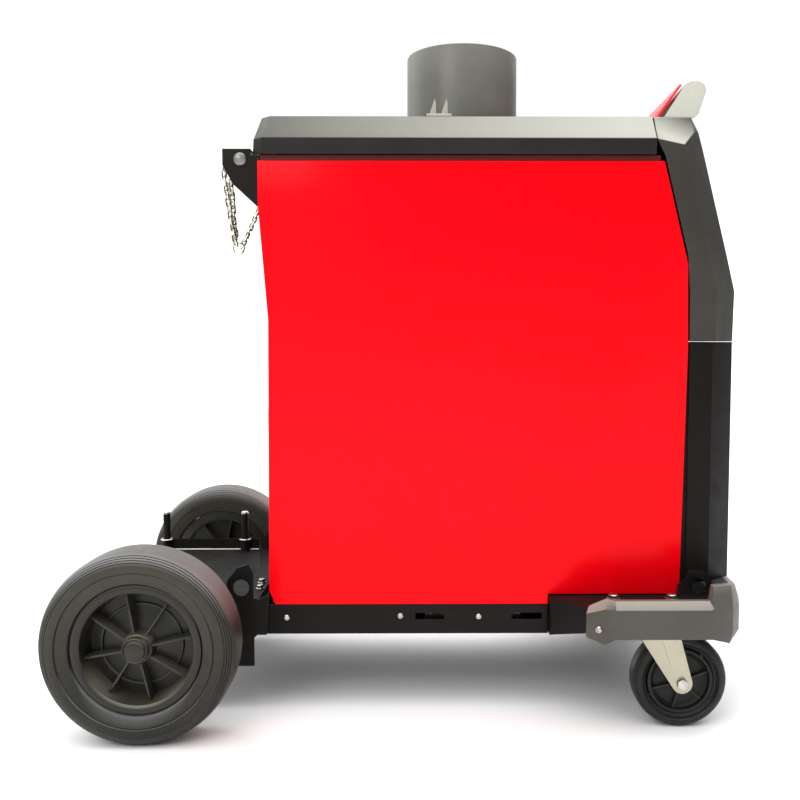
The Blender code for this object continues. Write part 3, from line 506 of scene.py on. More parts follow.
# ---- CAD nodes with soft edges ------------------------------------------
REFINED = (
    # material, edge radius, segments, nodes
    (RED, 0.0009, 3, ("side_panel_right", "side_panel_left_lower", "spool_door")),
    (RED, 0.0008, 2, ("handle_back_panel",)),
    (BLACK, 0.0007, 2, ("chassis_tray", "rear_platform", "lower_front_panel",
                        "bottle_cradle")),
    (BLACK, 0.0008, 2, ("axle_bracket_left", "axle_bracket_right", "front_crossmember",
                        "fan_guard")),
    (BLACK, 0.0003, 2, ("rear_panel",)),
    (LID_GREY, 0.0014, 3, ("top_cover",)),
    (FRAME_GREY, 0.0012, 3, ("front_frame",)),
    (HANDLE_GREY, 0.0018, 3, ("push_handle",)),
    (HANDLE_GREY, 0.0004, 2, ("cable_clip",)),
    (BUMPER_GREY, 0.0013, 3, ("front_bumper",)),
    (MAT_RUBBER, 0.0009, 3, ("select_button_1", "select_button_2")),
    (BLACK_PLASTIC, 0.0012, 3, ("pressure_arm",)),
    (BLACK_PLASTIC, 0.0010, 3, ("mains_switch",)),
    (BLACK_PLASTIC, 0.0008, 3, ("door_latch",)),
    (BLACK_PLASTIC, 0.0008, 2, ("spool_hub", "fan_rotor")),
    (BLACK_PLASTIC, 0.0006, 2, ("mains_gland", "tension_knob")),
    (BLACK_PLASTIC, 0.0004, 2, ("control_panel",)),
    (SCREEN, 0.0, 1, ("display_window",)),
    (ZINC, 0.0009, 2, ("caster_fork_left", "caster_fork_right")),
    (ZINC, 0.0006, 2, ("caster_plate_left", "caster_plate_right")),
    (STEEL, 0.0012, 2, ("rear_axle",)),
    (STEEL, 0.0010, 2, ("feed_motor",)),
    (STEEL, 0.0008, 2, ("output_choke",)),
    (STEEL, 0.0006, 2, ("caster_axle_left", "caster_axle_right")),
    (STEEL, 0.0, 1, ("drive_roll",)),
    (BRASS, 0.0005, 2, ("gas_inlet",)),
    (GALVANISED, 0.0, 1, ("partition",)),
    (ALUMINIUM, 0.0008, 2, ("feeder_plate",)),
    (ALUMINIUM, 0.0006, 2, ("power_module",)),
)
for material, width, segments, nodes in REFINED:
    for node in nodes:
        refine(node, material, width, segments)


def middle(node):
    """Centre of a CAD node's box."""
    low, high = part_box(node)
    return (low + high) / 2


# ---- rear wheels --------------------------------------------------------
def wheel_size(node):
    """Radius and half width of a CAD wheel or tyre."""
    low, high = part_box(node)
    return (high.z - low.z) / 2, (high.y - low.y) / 2


def both_sides(outer):
    """Closed section from its outer half."""
    return outer + [(r, -h) for r, h in reversed(outer)]


def shoulder(radius, half, reach, fall, grooves):
    """Quarter curve from side wall to tread with narrow grooves cut across it."""
    centre = Vector((radius - reach, half - fall))
    points = []
    steps = 26
    width = 0.028
    notch = 0.0014
    for i in range(steps + 1):
        angle = math.pi / 2 * i / steps
        if any(abs(angle - groove) < width * 2.2 for groove in grooves):
            continue
        points.append((angle, 0.0))
    for groove in grooves:
        points += [(groove - width, 0.0), (groove - width * 0.6, notch),
                   (groove + width * 0.6, notch), (groove + width, 0.0)]
    profile = []
    for angle, depth in sorted(points):
        out = Vector((math.sin(angle), math.cos(angle)))
        profile.append((centre.x + (reach - depth) * out.x,
                        centre.y + (fall - depth) * out.y))
    return profile


def tyre_profile(radius, half, bead, wall, grooves, reach, fall):
    """Closed section of a tyre, the same on both sides."""
    side = [(bead, half - 0.0085), (bead + 0.0010, half - 0.0058),
            (bead + 0.0040, half - 0.0042), (wall - 0.0012, half - 0.0016),
            (wall - 0.0006, half - 0.0030), (wall + 0.0006, half - 0.0030),
            (wall + 0.0012, half - 0.0007)]
    return both_sides(side + shoulder(radius, half, reach, fall, grooves))


def spoked_rim(form, matrix):
    """Rolled lip, deep barrel, closed web, eight thin ribs and a hub."""
    lathe(form, [(0.0834, 0.0225), (0.0834, 0.0262), (0.0822, 0.0280), (0.0800, 0.0288),
                 (0.0765, 0.0286), (0.0735, 0.0276), (0.0716, 0.0256), (0.0712, 0.0225),
                 (0.0700, 0.0060), (0.0672, -0.0050), (0.0672, -0.0220), (0.0700, -0.0240),
                 (0.0834, -0.0240)], matrix, 96, closed=True)
    lathe(form, [(0.0195, 0.0040), (0.0400, -0.0005), (0.0500, -0.0020), (0.0510, 0.0010),
                 (0.0530, 0.0010), (0.0540, -0.0030), (0.0680, -0.0045), (0.0680, -0.0075),
                 (0.0540, -0.0070), (0.0190, -0.0005)], matrix, 72, closed=True)
    lathe(form, [(0.0105, 0.0240), (0.0172, 0.0240), (0.0190, 0.0228), (0.0200, 0.0190),
                 (0.0212, -0.0100), (0.0212, -0.0240), (0.0105, -0.0240)],
          matrix, 48, closed=True)
    ribs = 8
    first = math.radians(11.6)
    for i in range(ribs):
        spin = matrix @ Matrix.Rotation(first + TURN * i / ribs, 4, "Z")
        tilt = spin @ Matrix.Rotation(math.pi / 2, 4, "X")
        shape = [(0.0195, -0.0215), (0.0660, -0.0180), (0.0708, 0.0150), (0.0660, 0.0172),
                 (0.0195, 0.0205)]
        rib = bmesh.new()
        prism(rib, shape, tilt @ Matrix.Translation((0, 0, -0.0012)), 0.0024)
        soften(rib, 0.0005, 2)
        absorb(form, rib)


TREAD_GROOVES = [math.radians(a) for a in (24.0, 33.5, 43.0, 53.0)]
CORE_OUTER = [
    # radius and inset from the side of the caster tyre
    (0.0435, 0.0075), (0.0432, 0.0030), (0.0415, 0.0022), (0.0392, 0.0034), (0.0375, 0.0085),
    (0.0340, 0.0110), (0.0160, 0.0090), (0.0140, -0.0008), (0.0120, -0.0014),
    (0.0050, -0.0014)]
FORK_RIDGE = [(0.3290, 0.1370), (0.3370, 0.1370), (0.3545, 0.0800), (0.3490, 0.0800)]

for label, out in (("right", "-Y"), ("left", "Y")):
    # ---- rear tyre, rim and hub cap
    body = "rear_wheel_" + label
    centre = middle("tyre_" + label)
    radius, half = wheel_size("tyre_" + label)
    matrix = aim(out, centre)
    form = bmesh.new()
    lathe(form, tyre_profile(radius, half, 0.0843, 0.0995, TREAD_GROOVES, 0.0205, 0.0200),
          matrix, 128, closed=True)
    tyre = add_piece("rear_tyre_" + label, form, TYRE, body, 30.0)
    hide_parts("tyre_" + label)

    form = bmesh.new()
    spoked_rim(form, matrix)
    rim = add_piece("rear_rim_" + label, form, RIM_PLASTIC, body, 32.0)
    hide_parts("rim_" + label)

    low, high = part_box("axle_cap_" + label)
    base = low.y if out == "Y" else high.y
    form = bmesh.new()
    cap = aim(out, (centre.x, base, centre.z))
    lathe(form, [(0.0, 0.0096), (0.0110, 0.0096), (0.0124, 0.0088), (0.0128, 0.0066),
                 (0.0138, 0.0062), (0.0150, 0.0072), (0.0160, 0.0066), (0.0165, 0.0045),
                 (0.0165, 0.0), (0.0, 0.0)], cap, 56)
    piece = add_piece("hub_cap_" + label, form, RIM_PLASTIC, body, 32.0)
    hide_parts("axle_cap_" + label)

    # ---- caster wheels and fork ribs
    body = "caster_wheel_" + label
    centre = middle("caster_tyre_" + label)
    radius, half = wheel_size("caster_tyre_" + label)
    matrix = aim(out, centre)
    form = bmesh.new()
    lathe(form, tyre_profile(radius, half, 0.0440, 0.0500, [math.radians(40.0)],
                             0.0105, 0.0110), matrix, 96, closed=True)
    piece = add_piece("caster_tread_" + label, form, CASTER_TYRE, body, 30.0)
    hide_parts("caster_tyre_" + label)
    form = bmesh.new()
    lathe(form, both_sides([(r, half - inset) for r, inset in CORE_OUTER]), matrix, 72,
          closed=True)
    for i in range(6):
        for face in (1, -1):
            spin = matrix @ Matrix.Rotation(TURN * i / 6 + 0.3, 4, "Z")
            tilt = spin @ Matrix.Rotation(math.pi / 2, 4, "X")
            shape = [(0.0145, face * (half - 0.0120)), (0.0380, face * (half - 0.0120)),
                     (0.0380, face * (half - 0.0062)), (0.0150, face * (half - 0.0030))]
            prism(form, shape, tilt @ Matrix.Translation((0, 0, -0.0011)), 0.0022)
    piece = add_piece("caster_wheel_core_" + label, form, BLACK_PLASTIC, body, 32.0)
    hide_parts("caster_core_" + label)

    swivel = "caster_swivel_" + label
    form = bmesh.new()
    for sign, face in ((1, "Y"), (-1, "-Y")):
        place = (0.0, centre.y + sign * 0.0255, 0.0)
        part = bmesh.new()
        prism(part, [(-sign * x, z) for x, z in FORK_RIDGE], aim(face, place), 0.0016)
        soften(part, 0.0007, 2)
        absorb(form, part)
    add_piece("fork_ridges_" + label, form, ZINC, swivel)
    form = bmesh.new()
    race_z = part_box("caster_fork_" + label)[1].z - 0.0012
    lathe(form, [(0.0345, 0.0), (0.0365, 0.0006), (0.0372, 0.0026), (0.0360, 0.0046),
                 (0.0345, 0.0052)],
          aim("Z", (middle("caster_plate_" + label).x, centre.y, race_z)), 48, closed=True)
    add_piece("race_ring_" + label, form, STEEL, swivel)


# ---- cable drum and lid tray --------------------------------------------
low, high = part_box("cable_drum")
centre = middle("cable_drum")
radius = (high.x - low.x) / 2
height = high.z - low.z
form = bmesh.new()
lathe(form, [(0.0, 0.003), (radius - 0.0065, 0.003), (radius - 0.0042, 0.0045),
             (radius - 0.0034, 0.008), (radius - 0.0030, height - 0.0015),
             (radius - 0.0024, height - 0.0003), (radius - 0.0014, height),
             (radius - 0.0006, height - 0.0004), (radius - 0.0002, height - 0.0015),
             (radius, height * 0.6), (radius, 0.004), (radius, 0.0), (0.0, 0.0)],
      aim("Z", (centre.x, centre.y, low.z)), 128)
drum = add_piece("cable_drum_collar", form, DRUM_GREY, "machine", 32.0)
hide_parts("cable_drum")

TRAY_Z = 0.800 + GAP
form = bmesh.new()
for start, end in ((-0.172, -0.012), (0.170, 0.310)):
    block(form, (start, -0.104, TRAY_Z), (end, 0.104, TRAY_Z + 0.0016))
    ribs = 15
    for i in range(ribs):
        y = -0.098 + 0.196 * i / (ribs - 1)
        block(form, (start + 0.004, y - 0.0014, TRAY_Z + 0.0010),
              (end - 0.004, y + 0.0014, TRAY_Z + 0.0034))
soften(form, 0.0004, 2)
add_piece("tray_mats", form, MAT_RUBBER, "machine")

# Rails in the gap under the lid rim, painted darker red as the shade of the rim's overhang.
form = bmesh.new()
for y in (-0.1480, 0.1465):
    block(form, (-0.197, y, 0.7535), (0.342, y + 0.0015, 0.7626))
block(form, (-0.1985, -0.1475, 0.7535), (-0.1970, 0.1475, 0.7626))
add_piece("upper_rails", form, RED_IN_PAINTED_SHADE, "machine")


# ---- bottle chain -------------------------------------------------------
CHAIN_END = Vector((-0.2500, 0.1390, 0.7440))
CHAIN_LOW = Vector((-0.2610, 0.0, 0.6470))


def chain_curve(near):
    """Half of the chain, from its gusset to the ring at the bottom."""
    count = 120
    points = []
    for i in range(count + 1):
        across = 1 - i / count
        sag = across ** 1.2
        drop = CHAIN_LOW.lerp(CHAIN_END, sag)
        points.append(Vector((drop.x, near * CHAIN_END.y * across, drop.z)))
    return points


def evenly(points, pitch):
    """Places and directions at equal distances along a curve."""
    lengths = [0.0]
    for a, b in zip(points, points[1:]):
        lengths.append(lengths[-1] + (b - a).length)
    number = round(lengths[-1] / pitch)
    found = []
    k = 0
    for i in range(number):
        goal = lengths[-1] * (i + 0.5) / number
        while lengths[k + 1] < goal:
            k += 1
        share = (goal - lengths[k]) / (lengths[k + 1] - lengths[k])
        found.append((points[k].lerp(points[k + 1], share),
                      (points[k + 1] - points[k]).normalized()))
    return found


LINK_LENGTH = 0.0205
LINK_WIDTH = 0.0096
LINK_WIRE = 0.00170


def chain_link(form, place, along, twist):
    """Welded oval link with a slight kink."""
    side = along.cross(Vector((1, 0, 0))).normalized()
    across = Matrix.Rotation(twist, 3, along) @ side
    lift = along.cross(across)
    bend = LINK_WIDTH / 2 - LINK_WIRE
    straight = LINK_LENGTH / 2 - LINK_WIRE - bend
    points = []
    for end in (1, -1):
        for i in range(9):
            angle = math.pi * i / 8 - math.pi / 2
            u = end * (straight + bend * math.cos(angle))
            v = end * bend * math.sin(angle)
            kink = 0.0007 * math.sin(v / bend * 1.5)
            points.append(place + along * u + across * v + lift * kink)
    wire(form, points, LINK_WIRE, 8, closed=True)


def hang(form, curve, first):
    """Interlocked links along a curve."""
    for i, (place, along) in enumerate(evenly(curve, LINK_LENGTH - 2.35 * LINK_WIRE * 2)):
        wobble = 0.35 * math.sin((i + first) * 2.1)
        chain_link(form, place, along, math.pi / 2 * (i % 2) + 0.6 + wobble)


form = bmesh.new()
for near in (-1, 1):
    curve = [p for p in chain_curve(near) if p.z > CHAIN_LOW.z + 0.008]
    hang(form, curve, 3 if near > 0 else 0)
doubled = [p + Vector((0.0085 * abs(p.y) / 0.139, 0.0, 0.0040)) for p in chain_curve(-1)
           if CHAIN_LOW.z + 0.016 < p.z < CHAIN_END.z - 0.014]
hang(form, doubled, 5)
ring_centre = CHAIN_LOW + Vector((0.0008, 0.0, 0.0055))
ring = [ring_centre + Vector((0.0082 * math.cos(TURN * i / 28), 0.0012 * math.sin(TURN * i / 14),
                              0.0082 * math.sin(TURN * i / 28))) for i in range(28)]
wire(form, ring, 0.0019, 10, closed=True)
chain = add_piece("bottle_chain_links", form, CHAIN_METAL, "machine", 50.0)
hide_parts("bottle_chain")

form = bmesh.new()
for sign, axis in ((-1, "-Y"), (1, "Y")):
    face = aim(axis, (-0.2250, sign * (0.1485 + GAP), 0.7565))
    lathe(form, [(0.0, 0.0042), (0.0058, 0.0042), (0.0078, 0.0034), (0.0090, 0.0016),
                 (0.0092, 0.0), (0.0, 0.0)], face, 36)
    slot_face = face @ Matrix.Rotation(0.7, 4, "Z")
    prism(form, [(-0.0054, -0.0008), (0.0054, -0.0008), (0.0054, 0.0008), (-0.0054, 0.0008)],
          slot_face @ Matrix.Translation((0, 0, 0.0037)), 0.0007)
    inner = aim("-Y" if sign > 0 else "Y", (-0.2445, sign * (0.1455 - GAP), 0.7450))
    lathe(form, [(0.0, 0.0035), (0.0040, 0.0035), (0.0052, 0.0020), (0.0052, 0.0),
                 (0.0, 0.0)], inner, 24)
add_piece("cradle_studs", form, DULL_STEEL, "machine")


# ---- fasteners ----------------------------------------------------------
side_heads = []
for sign, axis in ((-1, "-Y"), (1, "Y")):
    for x, z in ((-0.1690, 0.1290), (-0.0110, 0.1310), (0.0980, 0.1300)):
        side_heads.append(((x, sign * (0.150 + 0.0001), z), axis))
fasteners("rail_rivets", button_screw, side_heads, STEEL, radius=0.0042, height=0.0018)

wing_heads = []
for sign in (-1, 1):
    for x in (0.281, 0.361):
        for offset in (-0.030, 0.030):
            wing_heads.append(((x, sign * (0.200 + offset), 0.1600 + GAP / 2), "Z"))
fasteners("caster_bolts", hex_bolt, wing_heads, STEEL)

foot_heads = [((x, sign * y, 0.1556), "Z") for sign in (-1, 1)
              for x, y in ((-0.2185, 0.066), (-0.2150, 0.098))]
fasteners("platform_bolts", hex_bolt, foot_heads, STEEL, across=0.0085, height=0.0045,
          washer=0.0062)
panel_heads = [((-0.1888, y, z), "-X") for y in (-0.137, 0.137)
               for z in (0.200, 0.330, 0.510)]
panel_heads += [((-0.1888, y, 0.1700), "-X") for y in (-0.105, -0.070, 0.070, 0.105)]
fasteners("rear_panel_screws", pan_screw, panel_heads, STEEL, radius=0.0040)

bumper_heads = [((0.2494, sign * 0.2342, 0.1385), "-Y" if sign < 0 else "Y")
                for sign in (-1, 1)]


def slanted_screw(form, place, axis):
    """Bumper screw set square to the slanted end facet."""
    slant = -0.686 if axis == "-Y" else 0.686
    turn = Matrix.Translation(Vector(place)) @ Matrix.Rotation(slant, 4, "Z")
    part = bmesh.new()
    button_screw(part, (0, 0, 0), axis, radius=0.0052, height=0.0030)
    part.transform(turn)
    absorb(form, part)


fasteners("bumper_screws", slanted_screw, bumper_heads, STEEL)

front_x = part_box("lower_front_panel")[1].x
front_heads = [((front_x + 0.0001, y, z), "X") for y in (-0.108, 0.108)
               for z in (0.2150, 0.3550, 0.4980)]
fasteners("front_panel_screws", button_screw, front_heads, STEEL, radius=0.0042,
          height=0.0022)

form = bmesh.new()
for x in (-0.2856, -0.4190):
    lathe(form, [(0.0, 0.0044), (0.0042, 0.0044), (0.0060, 0.0030), (0.0066, 0.0),
                 (0.0, 0.0)], aim("Z", (x, 0.1440, 0.2182)), 24)
    lathe(form, [(0.0063, 0.0), (0.0104, 0.0), (0.0106, 0.0012), (0.0096, 0.0022),
                 (0.0063, 0.0022)], aim("Z", (x, 0.1440, 0.1733)), 28, closed=True)
# Pale strip along the platform's far bend: a painted highlight on the bend.
line = bmesh.new()
block(line, (-0.4250, 0.1444, 0.1556), (-0.2630, 0.1474, 0.1572))
soften(line, 0.0003, 1)
add_piece("platform_bend_highlight", line, PRINT, "machine")
add_piece("platform_post_caps", form, STEEL, "machine")

# ---- rear wall ----------------------------------------------------------
form = bmesh.new()
FAN_Y, FAN_Z = -0.075, 0.400
for radius in (0.014, 0.022, 0.030, 0.038, 0.046, 0.054):
    points = [Vector((-0.1945, FAN_Y + y, FAN_Z + z)) for y, z in ring_points(radius, 48)]
    wire(form, points, 0.0009, 6, closed=True)
for i in range(4):
    angle = math.pi / 4 + TURN * i / 4
    points = [Vector((-0.1935, FAN_Y + r * math.cos(angle), FAN_Z + r * math.sin(angle)))
              for r in (0.010, 0.0585)]
    wire(form, points, 0.0013, 6)
add_piece("fan_guard_wires", form, STEEL, "machine")

form = bmesh.new()
for column in (-0.105, -0.045, 0.015, 0.075):
    for row in range(7):
        z = 0.225 + row * 0.012
        points = [(-0.021, -0.0030), (0.021, -0.0030), (0.019, 0.0026), (-0.019, 0.0026)]
        part = bmesh.new()
        prism(part, points, Matrix.Identity(4), 0.0032)
        for vertex in part.verts:
            if vertex.co.z > 0.001 and vertex.co.y > 0:
                vertex.co.z = 0.0006
        part.transform(aim("-X", (-0.1886, column, z)))
        absorb(form, part)
soften(form, 0.0005, 2)
add_piece("rear_louvres", form, BLACK, "machine")

form = bmesh.new()
block(form, (-0.1902, 0.040, 0.5100), (-0.1892, 0.120, 0.5300))
soften(form, 0.0004, 2)
add_piece("blank_rating_plate", form, ALUMINIUM, "machine")


# ---- control panel ------------------------------------------------------
PANEL_ORIGIN = Vector((0.4268, 0.0, 0.697))
PANEL_TILT = math.atan2(0.0517, 0.206)
PANEL_FACE = -0.0035
PRINT_FACE = PANEL_FACE + 0.0001
DISPLAY_FACE = PANEL_FACE + 0.00295
DISPLAY_UP = 0.050


def on_panel(across, up, out=PANEL_FACE):
    """Matrix with local X to the viewer's right, Y up the slope and Z outward."""
    tilt = Matrix.Rotation(-PANEL_TILT, 4, "Y")
    shift = Matrix.Translation(Vector((out, across, up)))
    return Matrix.Translation(PANEL_ORIGIN) @ tilt @ shift @ FACING["X"]


def dial(form, matrix, radius, ticks, sweep, depth=0.0003):
    """Scale of ticks round a knob, longer at the ends and the middle."""
    for i in range(ticks):
        angle = -sweep / 2 + sweep * i / (ticks - 1)
        long = i % 5 == 0
        length = 0.0042 if long else 0.0026
        reach = radius + length / 2
        spot = matrix @ Matrix.Rotation(-angle, 4, "Z") @ Matrix.Translation((0, reach, 0))
        bar(form, spot, 0.0009 if long else 0.0006, length, depth)


def knurled_knob(name, node, matrix, radius, height):
    """Fluted knob with a skirt, a chamfered flat top and a pointer."""
    form = bmesh.new()
    flutes = 28
    steps = flutes * 4
    lathe(form, [(radius - 0.0005, 0.0), (radius, 0.0006), (radius, 0.0020),
                 (radius - 0.0012, 0.0030), (0.0, 0.0030)], matrix, 72)
    rings = []
    for level, shrink in ((0.0028, 0.0), (height - 0.0022, 0.0009), (height - 0.0006, 0.0018)):
        ring = []
        for i in range(steps):
            angle = TURN * i / steps
            wave = 0.0007 * (0.5 + 0.5 * math.cos(flutes * angle))
            reach = radius - 0.0028 - shrink - wave
            ring.append(form.verts.new(matrix @ Vector((reach * math.cos(angle),
                                                        reach * math.sin(angle), level))))
        rings.append(ring)
    for lower, upper in zip(rings, rings[1:]):
        for i in range(steps):
            j = (i + 1) % steps
            form.faces.new((lower[i], lower[j], upper[j], upper[i]))
    form.faces.new(rings[-1])
    form.faces.new(rings[0][::-1])
    knob = add_piece(name, form, BLACK_PLASTIC, home(node), 50.0)
    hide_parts(node)
    form = bmesh.new()
    bar(form, matrix @ Matrix.Translation((0, radius * 0.42, height - 0.0006)), 0.0016,
        radius * 0.62, 0.0004)
    add_piece(name + "_pointer", form, PRINT, home(node))


form = bmesh.new()
for node, across in (("voltage_knob", -0.045), ("wire_speed_knob", 0.045)):
    knurled_knob(node + "_fluted", node, on_panel(across, -0.050, PANEL_FACE + 0.0004),
                 0.018, 0.013)
    dial(form, on_panel(across, -0.050, PRINT_FACE), 0.0205, 11, math.radians(300))
    bar(form, on_panel(across, -0.0205, PRINT_FACE), 0.040, 0.0010, 0.0003)
for sign in (-1, 1):
    bar(form, on_panel(0, DISPLAY_UP + sign * 0.0275, PRINT_FACE), 0.134, 0.0009, 0.0003)
    bar(form, on_panel(sign * 0.066, DISPLAY_UP, PRINT_FACE), 0.0009, 0.056, 0.0003)
add_piece("panel_scale_print", form, PRINT, "machine")

SEGMENTS = {
    # digit: which of top, upper right, lower right, bottom, lower left, upper left, middle
    "1": (0, 1, 1, 0, 0, 0, 0),
    "8": (1, 1, 1, 1, 1, 1, 1),
    "5": (1, 0, 1, 1, 0, 1, 1),
    "6": (1, 0, 1, 1, 1, 1, 1),
    "0": (1, 1, 1, 1, 1, 1, 0),
}


def digit(form, value, across):
    """Seven-segment digit on the display's face."""
    size = 0.0090
    half = size / 2
    spots = [(0, size, 0), (half, half, 1), (half, -half, 1), (0, -size, 0),
             (-half, -half, 1), (-half, half, 1), (0, 0, 0)]
    for on, (dx, dy, upright) in zip(SEGMENTS[value], spots):
        if on:
            wide, tall = (0.0014, size * 0.84) if upright else (size * 0.84, 0.0014)
            bar(form, on_panel(across + dx, DISPLAY_UP + dy, DISPLAY_FACE), wide, tall,
                0.00025)


form = bmesh.new()
for value, across in (("1", -0.0440), ("8", -0.0285), ("5", -0.0115), ("6", 0.0170),
                      ("0", 0.0335)):
    digit(form, value, across)
for across in (-0.0195, 0.0255):
    bar(form, on_panel(across, 0.0415, DISPLAY_FACE), 0.0016, 0.0016, 0.00025)
add_piece("display_digits", form, LIT_RED, "machine")

form = bmesh.new()
for i in range(3):
    lathe(form, [(0.0, 0.0014), (0.0014, 0.0010), (0.0020, 0.0)],
          on_panel(-0.012 + 0.012 * i, -0.0120, PRINT_FACE), 20)
add_piece("status_lamps", form, LIT_GREEN, "machine")

form = bmesh.new()
for across in (-0.100, 0.100):
    for up in (-0.085, 0.0):
        part = bmesh.new()
        pan_screw(part, (0, 0, 0), "Z", radius=0.0032, height=0.0018)
        part.transform(on_panel(across, up, PRINT_FACE))
        absorb(form, part)
add_piece("panel_screws", form, STEEL, "machine")

# ---- lower front fittings -----------------------------------------------
def socket_seat(node):
    """Matrix on the face of the low front panel behind a socket's collar."""
    centre = middle(node)
    return aim("X", (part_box(node)[1].x - 0.011, centre.y, centre.z))


for node in ("output_socket_plus", "output_socket_minus"):
    matrix = socket_seat(node)
    form = bmesh.new()
    lathe(form, [(0.0070, -0.0140), (0.0070, 0.0075), (0.0080, 0.0092), (0.0100, 0.0094),
                 (0.0108, 0.0106), (0.0146, 0.0110), (0.0158, 0.0104), (0.0162, 0.0085),
                 (0.0166, 0.0070), (0.0185, 0.0052), (0.0185, 0.0), (0.0125, 0.0),
                 (0.0125, -0.0140)], matrix, 64, closed=True)
    for i in range(12):
        spin = matrix @ Matrix.Rotation(TURN * i / 12, 4, "Z")
        bar(form, spin @ Matrix.Translation((0.0161, 0, 0.0030)), 0.0030, 0.0024, 0.0060)
    collar = add_piece(node + "_collar", form, BLACK_PLASTIC, "machine")
    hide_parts(node)
    form = bmesh.new()
    lathe(form, [(0.0056, -0.0110), (0.0056, 0.0060), (0.0068, 0.0066), (0.0068, -0.0110)],
          matrix, 40, closed=True)
    lathe(form, [(0.0, -0.0100), (0.0056, -0.0100)], matrix, 40)
    add_piece(node + "_contact", form, BRASS, "machine")

matrix = socket_seat("torch_socket")
form = bmesh.new()
lathe(form, [(0.0175, -0.0200), (0.0175, 0.0), (0.0266, 0.0), (0.0270, 0.0006),
             (0.0270, 0.0046), (0.0262, 0.0056), (0.0242, 0.0062), (0.0240, 0.0104),
             (0.0232, 0.0110), (0.0212, 0.0110), (0.0206, 0.0100), (0.0204, 0.0040),
             (0.0090, 0.0036), (0.0090, -0.0200)], matrix, 80, closed=True)
socket = add_piece("torch_socket_body", form, BRASS, "machine")
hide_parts("torch_socket")
form = bmesh.new()
lathe(form, [(0.0091, 0.0028), (0.0091, 0.0052), (0.0120, 0.0056), (0.0202, 0.0054),
             (0.0203, 0.0042), (0.0203, 0.0028)], matrix, 64, closed=True)
add_piece("torch_socket_insulator", form, BLACK_PLASTIC, "machine")
form = bmesh.new()
for angle in (2.6, 3.68):
    spin = matrix @ Matrix.Rotation(angle, 4, "Z") @ Matrix.Translation((0.0150, 0, 0.0050))
    lathe(form, [(0.0, 0.0034), (0.0011, 0.0032), (0.0014, 0.0022), (0.0014, 0.0)], spin, 16)
lathe(form, [(0.0036, -0.0060), (0.0036, 0.0074), (0.0050, 0.0074), (0.0050, -0.0060)],
      matrix, 32, closed=True)
add_piece("torch_socket_contacts", form, STEEL, "machine")

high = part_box("mains_switch")[1]
centre = middle("mains_switch")
form = bmesh.new()
plate = aim("X", (front_x + 0.0001, centre.y, centre.z))
lathe(form, [(0.0252, 0.0), (0.0252, 0.0010), (0.0258, 0.0014), (0.0294, 0.0014),
             (0.0300, 0.0010), (0.0300, 0.0)], plate, 64, closed=True)
add_piece("switch_surround", form, BLACK_PLASTIC, "machine")
form = bmesh.new()
dial(form, plate @ Matrix.Rotation(math.pi / 4, 4, "Z"), 0.0315, 2, math.pi / 2, 0.0004)
bar(form, plate @ Matrix.Translation((0, 0.0340, 0)), 0.0012, 0.0050, 0.0004)
add_piece("switch_marks", form, PRINT, "machine")
form = bmesh.new()
bar(form, aim("X", (high.x - 0.0001, centre.y, high.z - 0.0090)), 0.0016, 0.0110, 0.0004)
add_piece("switch_pointer", form, PRINT, "switch")

form = bmesh.new()
for z in (0.222, 0.235, 0.248, 0.261):
    block(form, (0.4400, -0.0840, z - 0.0010), (0.4412, 0.0840, z + 0.0070))
add_piece("vent_backing", form, BLACK_PLASTIC, "machine")

# ---- door furniture -----------------------------------------------------
hinge = next(j for j in frame["joints"] if j["name"] == "door_hinge")
hinge_x, hinge_y = hinge["pos_m"][0], hinge["pos_m"][1]
door_low, door_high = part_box("spool_door")
HINGE_LEVELS = (0.345, 0.500, 0.655)
leaves = bmesh.new()
knuckles = bmesh.new()
for z in HINGE_LEVELS:
    at = aim("Z", (hinge_x, hinge_y, z))
    lathe(knuckles, [(0.0, -0.0005), (0.0030, -0.0005), (0.0030, 0.0400), (0.0, 0.0400)],
          at, 20)
    front = -0.170 if z < 0.6 else -0.172
    for low, high in ((0.0, 0.0130), (0.0265, 0.0395)):
        lathe(leaves, [(0.0032, low), (0.0045, low), (0.0045, high), (0.0032, high)], at, 24,
              closed=True)
        block(leaves, (hinge_x + 0.0030, 0.1502, z + low), (front, 0.1516, z + high))
add_piece("hinge_pins", knuckles, STEEL, "machine")
add_piece("hinge_leaves", leaves, BLACK, "door")

form = bmesh.new()
for z in HINGE_LEVELS:
    inner = -0.186 if z < 0.6 else -0.196
    block(form, (hinge_x - 0.0010, 0.1490, z + 0.0140), (hinge_x + 0.0010, 0.1510, z + 0.0255))
    block(form, (hinge_x - 0.0010, 0.1460, z + 0.0140), (inner, 0.1477, z + 0.0255))
add_piece("hinge_brackets", form, BLACK, "machine")

centre = middle("door_latch")
form = bmesh.new()
lathe(form, [(0.0124, 0.0), (0.0124, 0.0012), (0.0132, 0.0018), (0.0166, 0.0018),
             (0.0174, 0.0010), (0.0174, 0.0)],
      aim("Y", (centre.x, 0.1502, centre.z)), 48, closed=True)
add_piece("latch_ring", form, STEEL, "door")

form = bmesh.new()
for low_z, high_z in ((door_low.z + 0.010, door_low.z + 0.0115),
                      (door_high.z - 0.0115, door_high.z - 0.010)):
    block(form, (-0.160, 0.1390, low_z), (0.320, 0.1478, high_z))
block(form, (0.020, 0.1440, door_low.z + 0.012), (0.045, 0.1478, door_high.z - 0.012))
soften(form, 0.0006, 2)
add_piece("door_stiffeners", form, RED, "door")

